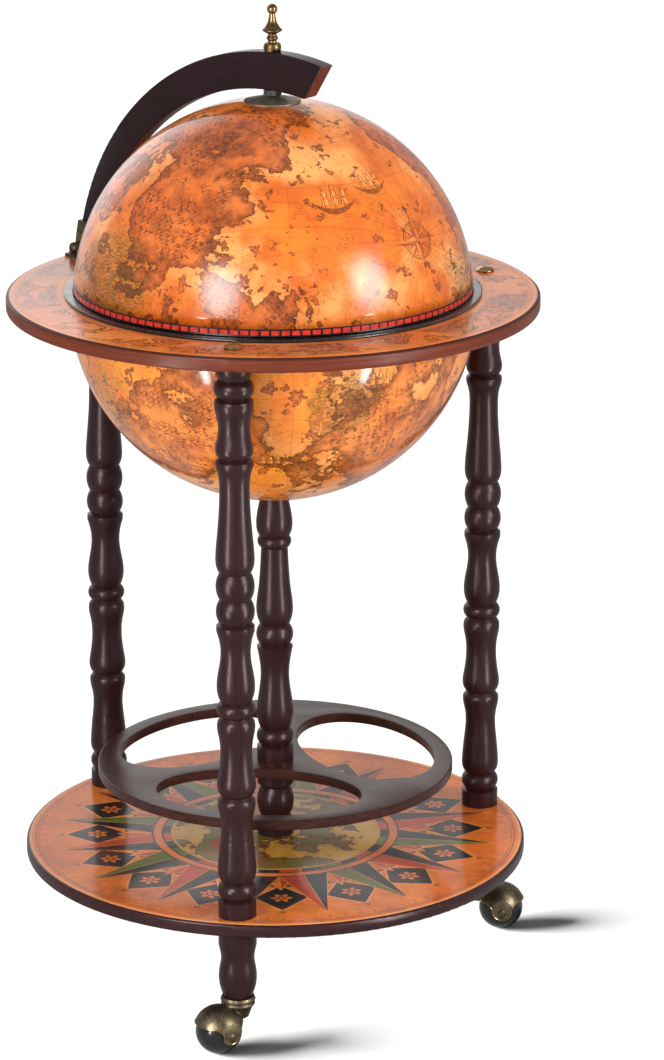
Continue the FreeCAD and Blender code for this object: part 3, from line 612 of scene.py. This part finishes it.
def ring_edge_wood():
    mix = Finish("red brown wood")
    place = mix.place()
    layers = mix.noise(mix.stretch(place, (8.0, 8.0, 260.0)), 2.0, 4.0, 0.6)
    cloud = mix.noise(place, 18.0, 4.0)
    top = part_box("ring_board")[1].z
    lip = mix.fade(mix.split(place)[2], top - 1.6 * MM, top - 0.8 * MM)
    colour = mix.coats(ink(88, 38, 22), (mix.fade(layers, 0.35, 0.65), ink(106, 48, 29)),
                       (mix.fade(cloud, 0.45, 0.7, 0.0, 0.6), ink(88, 40, 26)),
                       (mix.times(lip, 0.75), ink(48, 24, 20)))
    return mix.done(Base_Color=colour, Roughness=mix.fade(cloud, 0.3, 0.7, 0.3, 0.42),
                    Specular_IOR_Level=0.18)


ring_wood = ring_edge_wood()
print("wood: four espresso finishes and the ring's red brown")

# %% [markdown]
# ## Printed table tops
# The ring carries a sky chart and the base shelf a compass star. Both are flat, so their patterns are written
# in polar coordinates round the globe's axis: circles, ticks and star points all become plain steps of radius
# and angle.


# %% Sky chart on the ring
def ring_chart():
    mix = Finish("ring chart")
    place, radius, turn = mix.flat_place()
    cloud = mix.noise(place, 16.0, 5.0, 0.6)
    paper = mix.blend(mix.fade(cloud, 0.35, 0.65), ink(204, 108, 48), ink(222, 132, 66))
    off_middle = mix.size(mix.minus(radius, (ring_inner + ring_outer) / 2))
    field = mix.drop(off_middle, 14.0 * MM, 19.0 * MM)

    figures = mix.noise(place, 26.0, 5.0, 0.62, 0.8)
    body = mix.fade(figures, 0.5, 0.56)
    outline = mix.rule(figures, 0.5, 0.012)
    folds = mix.line(mix.cell(mix.noise(place, 34.0, 4.0, 0.6, 1.6), 11.0), 0.14)
    slanted = mix.stretch(place, (260.0, 90.0, 1.0), (0.0, 0.0, 0.6))
    strokes = mix.fade(mix.noise(slanted, 1.0, 3.0, 0.7, 0.6), 0.5, 0.6)
    inside = mix.times(body, mix.most(folds, mix.times(strokes, 0.75)))
    drawing = mix.times(field, mix.most(outline, inside), 0.95)
    smudge = mix.times(mix.fade(mix.noise(place, 11.0, 3.0), 0.48, 0.7), field, 0.55)

    circles = ((ring_inner + 3.0 * MM, 0.35 * MM), (ring_inner + 5.0 * MM, 0.25 * MM),
               (ring_outer - 4.5 * MM, 0.3 * MM), (ring_outer - 6.5 * MM, 0.3 * MM))
    rules = mix.most(*(mix.rule(radius, *circle) for circle in circles))
    tick = mix.line(mix.times(mix.cell(turn, 180.0), radius, math.tau / 180), 0.3 * MM)
    scale_band = mix.times(mix.fade(radius, ring_outer - 6.6 * MM, ring_outer - 6.4 * MM),
                           mix.drop(radius, ring_outer - 4.6 * MM, ring_outer - 4.4 * MM))
    drawn = mix.most(drawing, mix.times(rules, 0.6), mix.times(tick, scale_band, 0.6))
    edge = mix.fade(radius, ring_outer - 0.9 * MM, ring_outer - 0.3 * MM)
    colour = mix.coats(paper, (mix.times(body, field, 0.4), ink(176, 88, 40)), (smudge, ink(104, 84, 74)),
                       (drawn, ink(78, 36, 18)), (edge, ink(58, 30, 24)))
    gloss = mix.fade(cloud, 0.3, 0.7, 0.26, 0.36)
    return mix.done(Base_Color=colour, Roughness=gloss, Specular_IOR_Level=0.2, Coat_Weight=0.34,
                    Coat_Roughness=0.12)


ring_sheet = ring_chart()
print("print: ring chart")

# %% Compass star on the base shelf
SLATE, MOSS, RUST = ink(34, 31, 32), ink(90, 100, 34), ink(184, 64, 34)
STAR_LINE, FIELD = ink(224, 142, 72), ink(172, 88, 42)
STAR_POINTS = 16


def base_star():
    mix = Finish("base star")
    place, raw_radius, turn = mix.flat_place()
    radius = mix.over(raw_radius, base_outer)
    cloud = mix.noise(place, 14.0, 5.0, 0.6)
    paper = mix.blend(mix.fade(cloud, 0.35, 0.65), ink(204, 100, 34), ink(220, 120, 46))
    swap = mix.math("COSINE", mix.times(turn, math.pi * STAR_POINTS))
    accent = mix.blend(mix.fade(swap, -0.1, 0.1), RUST, MOSS)
    between = mix.plus(turn, 0.5 / STAR_POINTS)

    inked = mix.fade(mix.noise(place, 60.0, 4.0, 0.6), 0.4, 0.62)
    field = mix.blend(inked, FIELD, ink(128, 66, 34))
    side = mix.times(mix.cell(between, STAR_POINTS), radius, math.tau / STAR_POINTS)
    outward = mix.minus(radius, 0.725)
    lozenge = mix.plus(mix.over(mix.size(side), 0.11), mix.over(mix.size(outward), 0.13))
    flower_radius, flower_turn = mix.polar(side, outward)
    wave = mix.math("COSINE", mix.times(flower_turn, math.tau * 6))
    petal = mix.minus(mix.slope(wave, 0.009, 0.036), flower_radius)
    flower = mix.fade(petal, 0.0, 0.003)
    parting = mix.times(mix.fade(wave, -0.75, -0.95), mix.fade(flower_radius, 0.013, 0.015))
    vein = mix.most(mix.rule(flower_radius, 0.013, 0.003), parting)
    layers = [(mix.drop(radius, 0.62, 0.623), field), (mix.rule(radius, 0.62, 0.005), STAR_LINE),
              (mix.drop(lozenge, 0.99, 1.01), SLATE), (mix.rule(lozenge, 1.0, 0.04), STAR_LINE),
              (mix.times(flower, 0.9), paper), (mix.times(vein, flower), SLATE)]

    stars = ((0.5 / STAR_POINTS, 0.64, 0.46, paper, RUST), (0.0, 0.9, 0.5, accent, SLATE))
    for start, tip, root, left, right_side in stars:
        cell = mix.cell(mix.plus(turn, start), STAR_POINTS)
        inside = mix.star(radius, cell, STAR_POINTS, tip, root)
        half = mix.blend(mix.math("GREATER_THAN", cell, 0.0), left, right_side)
        spine = mix.times(mix.line(mix.times(cell, radius), 0.004), mix.fade(inside, 0.0, 0.002))
        layers += [(mix.fade(inside, -0.001, 0.001), half),
                   (mix.most(spine, mix.line(inside, 0.006)), STAR_LINE)]

    gem = mix.plus(mix.size(side), mix.size(mix.minus(radius, 0.87)))
    hours = mix.line(mix.times(mix.cell(turn, 96.0), radius, math.tau / 96), 0.004)
    hour_band = mix.times(mix.fade(radius, 0.93, 0.932), mix.drop(radius, 0.944, 0.946))
    layers += [(mix.fade(gem, 0.016, 0.018, 0.9, 0.0), accent),
               (mix.times(hours, hour_band, 0.7), ink(110, 52, 28))]
    circles = ((0.972, 0.0022, ink(120, 60, 34)), (0.96, 0.0014, ink(120, 60, 34)), (0.48, 0.02, paper),
               (0.5, 0.004, SLATE), (0.46, 0.004, SLATE), (0.42, 0.006, ink(190, 140, 54)))
    layers += [(mix.rule(radius, level, half_width), shade) for level, half_width, shade in circles]

    islands = mix.noise(place, 17.0, 6.0, 0.6)
    inner = mix.coats(ink(190, 142, 54), (mix.fade(islands, 0.5, 0.51), ink(104, 94, 38)),
                      (mix.fade(islands, 0.58, 0.6), ink(150, 62, 34)),
                      (mix.rule(islands, 0.505, 0.012), ink(100, 48, 26)))
    grime = mix.fade(mix.noise(place, 38.0, 6.0, 0.72), 0.42, 0.68, 0.0, 0.42)
    edge = mix.fade(radius, 0.988, 0.991)
    layers += [(mix.drop(radius, 0.412, 0.415), inner), (grime, ink(116, 56, 24)),
               (mix.times(edge, 0.6), ink(228, 158, 98))]
    gloss = mix.fade(cloud, 0.3, 0.7, 0.24, 0.34)
    return mix.done(Base_Color=mix.coats(paper, *layers), Roughness=gloss, Specular_IOR_Level=0.08,
                    Coat_Weight=0.3, Coat_Roughness=0.1)


base_sheet = base_star()
print("print: base star")

# %% [markdown]
# ## Metals and small finishes
# Brass and bronze age where hands and dirt reach them. A noise between a worn colour and a dark one, with the
# roughness following it, gives that without a single painted stroke.


# %% Brass, bronze, steel, black and laminate
def aged_metal(name, bright, dark, spots, low, high):
    mix = Finish(name)
    place = mix.place()
    patina = mix.noise(place, spots, 5.0, 0.65, 0.3)
    colour = mix.blend(mix.fade(patina, 0.25, 0.68), dark, bright)
    scratches = mix.noise(mix.stretch(place, (900.0, 900.0, 160.0)), 1.0, 2.0)
    polish = mix.fade(patina, 0.3, 0.7, high, low)
    return mix.done(Base_Color=colour, Metallic=1.0, Roughness=polish,
                    Normal=mix.bump(scratches, 0.00004, 0.3))


brass = aged_metal("aged brass", ink(148, 121, 82), ink(76, 60, 39), 150.0, 0.28, 0.42)
bronze = aged_metal("antique bronze", ink(130, 116, 92), ink(58, 52, 42), 160.0, 0.36, 0.52)
dull_bronze = aged_metal("dull bronze", ink(168, 158, 136), ink(104, 94, 78), 160.0, 0.5, 0.64)
rim_brass = aged_metal("worn rim", ink(204, 172, 116), ink(128, 102, 62), 200.0, 0.16, 0.3)
dark_steel = aged_metal("dark steel", ink(92, 90, 88), ink(36, 34, 34), 120.0, 0.25, 0.4)
steel = aged_metal("zinc plated steel", ink(190, 192, 196), ink(150, 152, 156), 90.0, 0.3, 0.45)


def moulded_black(name, low, high):
    mix = Finish(name)
    dust = mix.noise(mix.place(), 70.0, 4.0, 0.6)
    colour = mix.blend(mix.fade(dust, 0.4, 0.7), ink(12, 12, 13), ink(22, 22, 24))
    return mix.done(Base_Color=colour, Roughness=mix.fade(dust, 0.3, 0.7, low, high),
                    Specular_IOR_Level=0.35, Coat_Weight=0.6, Coat_Roughness=0.07)


black_trim = moulded_black("black trim", 0.2, 0.32)
wheel_black = moulded_black("wheel black", 0.18, 0.3)


def enamel(name, deep, bright, spots):
    """A thin glossy paint, slightly uneven where the brush or the press left more of it."""
    mix = Finish(name)
    cloud = mix.noise(mix.place(), spots, 4.0, 0.6)
    colour = mix.blend(mix.fade(cloud, 0.35, 0.65), deep, bright)
    return mix.done(Base_Color=colour, Roughness=mix.fade(cloud, 0.3, 0.7, 0.24, 0.34), Coat_Weight=0.3,
                    Coat_Roughness=0.15)


band_black = enamel("band black", ink(18, 15, 17), ink(30, 24, 26), 120.0)
dash_red = enamel("dash red", ink(196, 40, 30), ink(222, 58, 42), 240.0)
TRAY_RULES = (0.052, 0.055, 0.146, 0.149)


def tray_laminate():
    mix = Finish("tray laminate")
    place, radius = mix.flat_place()[:2]
    cloud = mix.noise(place, 14.0, 5.0, 0.6)
    colour = mix.blend(mix.fade(cloud, 0.35, 0.65), ink(178, 104, 52), ink(204, 130, 72))
    rules = mix.most(*(mix.rule(radius, level, 0.4 * MM) for level in TRAY_RULES))
    colour = mix.blend(mix.times(rules, 0.7), colour, ink(84, 42, 24))
    return mix.done(Base_Color=colour, Roughness=mix.fade(cloud, 0.3, 0.7, 0.3, 0.42), Coat_Weight=0.3,
                    Coat_Roughness=0.15)


tray_finish = tray_laminate()
print("metals and small finishes ready")

# %% [markdown]
# ## Jigs
# A jig is a Geometry Nodes tree: it makes the same shape again from a few named inputs, as a jig does in a
# workshop. The helper builds a tree, sets its inputs and keeps the result as a plain mesh.


# %% A small kit for jigs
class Jig(Bench):
    """One Geometry Nodes tree: the keywords name its inputs and their kinds."""
    family = "GeometryNode"

    def __init__(self, name, **inputs):
        self.tree = bpy.data.node_groups.new(name, "GeometryNodeTree")
        sockets = self.tree.interface
        sockets.new_socket("Geometry", in_out="OUTPUT", socket_type="NodeSocketGeometry")
        sockets.new_socket("Geometry", in_out="INPUT", socket_type="NodeSocketGeometry")
        self.keys = {}
        for label, kind in inputs.items():
            socket = sockets.new_socket(label, in_out="INPUT", socket_type="NodeSocket" + kind)
            self.keys[label] = socket.identifier
        self.given = self.tree.nodes.new("NodeGroupInput").outputs

    def step(self, kind, inputs=None, family=None, **settings):
        """Adds a node and returns its first output."""
        return self.add(kind, inputs, family, **settings).outputs[0]

    def close(self, geometry):
        """Ends the tree: instances become real and take the finish."""
        real = self.step("RealizeInstances", {"Geometry": geometry})
        painted = self.step("SetMaterial", {"Geometry": real, "Material": self.given["Finish"]})
        self.tree.links.new(painted, self.tree.nodes.new("NodeGroupOutput").inputs[0])

    def make(self, name, start, **values):
        """Runs the tree on a start mesh and returns an object that holds the result as a plain mesh."""
        piece = put(name, start)
        modifier = piece.modifiers.new("jig", "NODES")
        modifier.node_group = self.tree
        for label, value in values.items():
            modifier[self.keys[label]] = value
        result = piece.evaluated_get(bpy.context.evaluated_depsgraph_get())
        mesh = bpy.data.meshes.new_from_object(result)
        piece.modifiers.clear()
        piece.data = mesh
        mesh.name = name
        return piece


print("jig kit ready")

# %% [markdown]
# ## The lathe
# Legs, feet and columns are turned on a lathe: one outline spun about an axis. The outline could be drawn
# again by eye. Here it is read from the frame, because every point of the turned piece says how thick it is
# at that height. The jig then spins the outline with many more sides than the frame has, so the rims stay
# round.

# %% The lathe jig
merge_distance = 0.002 * MM
sharp_angle = math.radians(32.0)
bore_limit = 6.5 * MM
flush = 0.1 * MM
digits = 5  # of a metre, so to a hundredth of a millimetre
lathe = Jig("lathe", Sides="Int", Swing="Float", Place="Vector", Finish="Material")
given, step = lathe.given, lathe.step
outline = step("MeshToCurve", {"Mesh": given["Geometry"]})
circle = step("CurvePrimitiveCircle", {"Resolution": given["Sides"], "Radius": given["Swing"]})
turned = step("CurveToMesh", {"Curve": circle, "Profile Curve": outline})
joined = step("MergeByDistance", {"Geometry": turned, "Distance": merge_distance})
lathe.close(step("Transform", {"Geometry": joined, "Translation": given["Place"]}))


def soften(mesh):
    """Soft normals that break only at real edges."""
    mesh.polygons.foreach_set("use_smooth", [True] * len(mesh.polygons))
    mesh.set_sharp_from_angle(angle=sharp_angle)


def tidy_mesh(mesh):
    """Outward faces and soft normals."""
    shape = bmesh.new()
    shape.from_mesh(mesh)
    bmesh.ops.recalc_face_normals(shape, faces=shape.faces)
    shape.to_mesh(mesh)
    shape.free()
    soften(mesh)


def bore_ends(inner, low, high):
    """The ends of the holes along a turned piece: each as its radius and the height where it stops."""
    ends = {}
    for radius in sorted({radius for radius, height in inner}):
        heights = [height for other, height in inner if other == radius]
        if min(heights) - low < flush:
            ends["low"] = (radius, max(heights))
        if high - max(heights) < flush:
            ends["high"] = (radius, min(heights))
    return ends


def read_outline(name):
    """Half the section of a turned node: its axis, and (radius, height) points from the bottom up."""
    low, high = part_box(name)
    axis = Vector(((low.x + high.x) / 2, (low.y + high.y) / 2, 0.0))
    points = set()
    for vertex in nodes[name].data.vertices:
        away = vertex.co - axis
        points.add((round(math.hypot(away.x, away.y), digits), round(vertex.co.z, digits)))
    outer = {}
    for radius, height in points:
        if radius > bore_limit:
            outer[height] = max(radius, outer.get(height, 0.0))
    rim = [(outer[height], height) for height in sorted(outer)]
    ends = bore_ends([point for point in points if point[0] <= bore_limit], low.z, high.z)
    return axis, rim, ends


print("lathe ready")

# %% Turn the legs, feet and columns
SIDES = ("front", "right", "left")
bodies = frame["record"]["behaviour"]["bodies"]
body_of_node = {name: body for body, names in bodies.items() for name in names}
lathe_swing = 0.1
lathe_sides = 72
end_slack = 1.0 * MM


def each_side(*kinds):
    return [kind + side for kind in kinds for side in SIDES]


def stand_for(piece, name):
    """The piece takes the node's place: it hides it and rides on its body."""
    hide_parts(name)
    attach(piece, body_of_node[name])


def turn_piece(name, finish):
    axis, rim, ends = read_outline(name)
    bottom, top = rim[0][1], rim[-1][1]
    through = "low" in ends and "high" in ends and ends["low"][1] >= top - end_slack
    points = list(rim)
    if through:
        bore = ends["low"][0]
        points = [(bore, bottom)] + points + [(bore, min(top, ends["low"][1]))]
    else:
        low_bore, low_end = ends.get("low", (0.0, bottom))
        high_bore, high_end = ends.get("high", (0.0, top))
        points = [(0.0, low_end), (low_bore, low_end), (low_bore, bottom)] + points
        points += [(high_bore, top), (high_bore, high_end), (0.0, high_end)]
    edges = [(index, index + 1) for index in range(len(points) - 1)]
    if through:
        edges.append((len(points) - 1, 0))
    start = bpy.data.meshes.new(name + "_outline")
    start.from_pydata([(radius - lathe_swing, -height, 0.0) for radius, height in points], edges, [])
    piece = lathe.make(name + "_turned", start, Sides=lathe_sides, Swing=lathe_swing, Place=tuple(axis),
                       Finish=finish)
    tidy_mesh(piece.data)
    stand_for(piece, name)
    print(name, len(rim), "outline points,", len(piece.data.polygons), "faces")


for name in each_side("leg_", "foot_") + ["column_upper", "column_lower"]:
    turn_piece(name, upright_wood)

# %% [markdown]
# ## Red dashes on the dome's rim
# A strip of small red tiles runs round the dome's lower edge. They could be a printed pattern, but then they
# would have no edge to catch the light. One rounded tile on each point of a circle makes them real.

# %% The dash jig
dash_count = 126
tile_corner = 0.5 * MM
tile_rise = 0.3 * MM
tile_sink = 0.05 * MM
quarter = math.pi / 2
dash_ring = Jig("dash ring", Count="Int", Radius="Float", Level="Float", Length="Float", Height="Float",
                Rise="Float", Finish="Material")
given, step = dash_ring.given, dash_ring.step
spots = step("MeshCircle", {"Vertices": given["Count"], "Radius": given["Radius"]})
tile = step("CurvePrimitiveQuadrilateral", {"Width": given["Length"], "Height": given["Height"]})
tile = step("FilletCurve", {"Curve": tile, "Count": 2, "Radius": tile_corner}, mode="POLY")
tile = step("FillCurve", {"Curve": tile}, mode="NGONS")
tile = step("ExtrudeMesh", {"Mesh": tile, "Offset Scale": given["Rise"]})
tile = step("Transform", {"Geometry": tile, "Rotation": (quarter, 0.0, quarter)})
spot = dash_ring.add("SeparateXYZ", {"Vector": step("InputPosition")}, "ShaderNode").outputs
angle = step("Math", {0: spot["Y"], 1: spot["X"]}, "ShaderNode", operation="ARCTAN2")
facing = step("CombineXYZ", {"Z": angle}, "ShaderNode")
tiles = step("InstanceOnPoints", {"Points": spots, "Instance": tile, "Rotation": facing})
lift = step("CombineXYZ", {"Z": given["Level"]}, "ShaderNode")
dash_ring.close(step("Transform", {"Geometry": tiles, "Translation": lift}))

band_radius = (band_high.x - band_low.x) / 2
band_height = band_high.z - band_low.z
dash_pitch = math.tau * band_radius / dash_count
dashes = dash_ring.make("rim_dashes", bpy.data.meshes.new("rim_dashes_start"), Count=dash_count,
                        Radius=band_radius - tile_sink, Level=(band_low.z + band_high.z) / 2,
                        Length=0.78 * dash_pitch, Height=0.62 * band_height, Rise=tile_rise, Finish=dash_red)
tidy_mesh(dashes.data)
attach(dashes, "dome")
print("dashes:", dash_count, "tiles,", len(dashes.data.polygons), "faces")

# %% [markdown]
# ## Dress the frame
# Every other CAD node keeps its shape. Its triangles are loose, so a merged copy with soft normals stands for
# it: the same form, but the light runs smoothly over its curves.

# %% Smooth copies in their finish
dressing = {
    dome_chart: ["dome"],
    bowl_chart: ["bowl"],
    arm_wood: ["arm"],
    board_wood: ["base_board"],
    rack_wood: ["bottle_rack"],
    ring_wood: ["ring_board"],
    ring_sheet: ["ring_print"],
    base_sheet: ["base_print"],
    band_black: ["rim_band"],
    black_trim: ["rim_trim"],
    tray_finish: ["serving_tray"],
    brass: ["finial"],
    rim_brass: ["ring_screws"],
    dark_steel: ["pole_nuts", "pole_rod"],
    dull_bronze: ["pole_flange"],
    bronze: ["arm_shoe", "hinge_leaf", "shoe_rivets", "hinge_pin", "leaf_screws"]
            + each_side("caster_hood_", "caster_axle_"),
    steel: ["leg_studs", "tie_rod", "tie_washers", "tie_nuts", "bowl_screws", "pole_washer",
            "caster_sockets"] + each_side("caster_stem_"),
    wheel_black: each_side("caster_wheel_"),
}


def smooth_copy(name, finish):
    shape = bmesh.new()
    shape.from_mesh(nodes[name].data)
    bmesh.ops.remove_doubles(shape, verts=shape.verts, dist=merge_distance)
    mesh = bpy.data.meshes.new(name + "_dressed")
    shape.to_mesh(mesh)
    shape.free()
    mesh.materials.clear()
    mesh.materials.append(finish)
    mesh.polygons.foreach_set("material_index", [0] * len(mesh.polygons))
    soften(mesh)
    piece = put(name + "_dressed", mesh)
    stand_for(piece, name)
    return piece


dressed = {}
for finish, names in dressing.items():
    for name in names:
        dressed[name] = smooth_copy(name, finish)
        print(name, len(dressed[name].data.polygons), "faces")

# %% [markdown]
# ## Worn rims of the caster hoods
# A hood's lower edge is folded into a thin bead, which use has polished bright. The bead follows the edge of
# the hood up and down round the axle, so the edge is picked on the hood itself: its sharp edges on the outer
# side, below the skirt's level. The jig then runs a thin wire along them.

# %% The bead jig
bead_wire = 0.45 * MM
bead_sides = 8
skirt_rise = 9.0 * MM
side_slack = 0.1 * MM
ball_slack = 0.9 * MM
fold_angle = math.radians(50.0)
bead_jig = Jig("bead", Wire="Float", Finish="Material")
given, step = bead_jig.given, bead_jig.step
path = step("MeshToCurve", {"Mesh": given["Geometry"]})
section = step("CurvePrimitiveCircle", {"Resolution": bead_sides, "Radius": given["Wire"]})
bead_jig.close(step("CurveToMesh", {"Curve": path, "Profile Curve": section}))


def hood_edge(hood, side):
    """The hood's lower outer edge as a mesh of edges."""
    roll, swivel = joints["wheel_roll_" + side], joints["caster_swivel_" + side]
    middle, axle = Vector(roll["pos_m"]), Vector(roll["axis"]).normalized()
    to_stem = Vector(swivel["pos_m"]) - middle
    shape = bmesh.new()
    shape.from_mesh(hood.data)
    low = {vertex: vertex.co - middle for vertex in shape.verts if vertex.co.z < middle.z + skirt_rise}
    widest = max(abs(away.dot(axle)) for away in low.values())
    ball = max(away.length for away in low.values() if away.to_2d().dot(to_stem.to_2d()) < 0)
    outer = {vertex for vertex, away in low.items()
             if abs(away.dot(axle)) > widest - side_slack or abs(away.length - ball) < ball_slack}
    edges = [edge for edge in shape.edges if outer.issuperset(edge.verts) and len(edge.link_faces) == 2
             and edge.calc_face_angle() > fold_angle]
    points = sorted({vertex for edge in edges for vertex in edge.verts}, key=lambda vertex: vertex.index)
    places = {vertex: place for place, vertex in enumerate(points)}
    mesh = bpy.data.meshes.new(hood.name + "_edge")
    mesh.from_pydata([vertex.co.copy() for vertex in points],
                     [tuple(places[vertex] for vertex in edge.verts) for edge in edges], [])
    shape.free()
    return mesh


for side in SIDES:
    edge = hood_edge(dressed["caster_hood_" + side], side)
    bead = bead_jig.make("hood_bead_" + side, edge, Wire=bead_wire, Finish=rim_brass)
    tidy_mesh(bead.data)
    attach(bead, body_of_node["caster_hood_" + side])
    print("bead", side, len(bead.data.polygons), "faces")

# %% [markdown]
# ## Streaks beside the casters
# In the picture a dark streak lies on the floor to the right of each caster, as from a low lamp far to the
# left. Such a lamp would light the legs as well, so it is tied to the floor alone and only the casters stop
# it.

# %% A low sun for the floor
low_sun = bpy.data.lights.new("low_sun", "SUN")
low_sun.energy = 92.0
low_sun.angle = math.radians(32.0)
sun_holder = put("low_sun", low_sun)
sun_rise = math.radians(20.0)
sun_turn = math.radians(10.0)
sun_side = -math.cos(sun_turn) * right - math.sin(sun_turn) * UPWARD.cross(right)
sunward = math.cos(sun_rise) * sun_side + math.sin(sun_rise) * UPWARD
sun_holder.rotation_euler = (-sunward).to_track_quat("-Z", "Y").to_euler()
lit = bpy.data.collections.new("lit by the low sun")
lit.objects.link(floor)
shading = bpy.data.collections.new("stops the low sun")
for name in each_side("caster_hood_", "caster_wheel_"):
    shading.objects.link(dressed[name])
sun_holder.light_linking.receiver_collection = lit
sun_holder.light_linking.blocker_collection = shading

# %% [markdown]
# ## Tops without glare
# Seen from behind, the flat tops would mirror the front lamps as white patches. So these lamps leave the tops
# out, and each has a twin that lights the tops alone and shows in no mirror.

# %% Twins of the front lamps
flat_tops = bpy.data.collections.new("flat tops")
other_pieces = bpy.data.collections.new("all but the flat tops")
for name in ("ring_print", "base_print", "bottle_rack"):
    flat_tops.objects.link(dressed[name])
    other_pieces.objects.link(dressed[name])
for member in other_pieces.collection_objects:
    member.light_linking.link_state = "EXCLUDE"
for lamp in front_lamps:
    twin = lamp.copy()
    twin.name = lamp.name + "_twin"
    bpy.context.scene.collection.objects.link(twin)
    twin.visible_glossy = False
    twin.light_linking.receiver_collection = flat_tops
    lamp.light_linking.receiver_collection = other_pieces

# %% [markdown]
# ## The end
# The finishes may add no more than a trim's thickness to the object.

# %% The end
print("all pieces dressed")
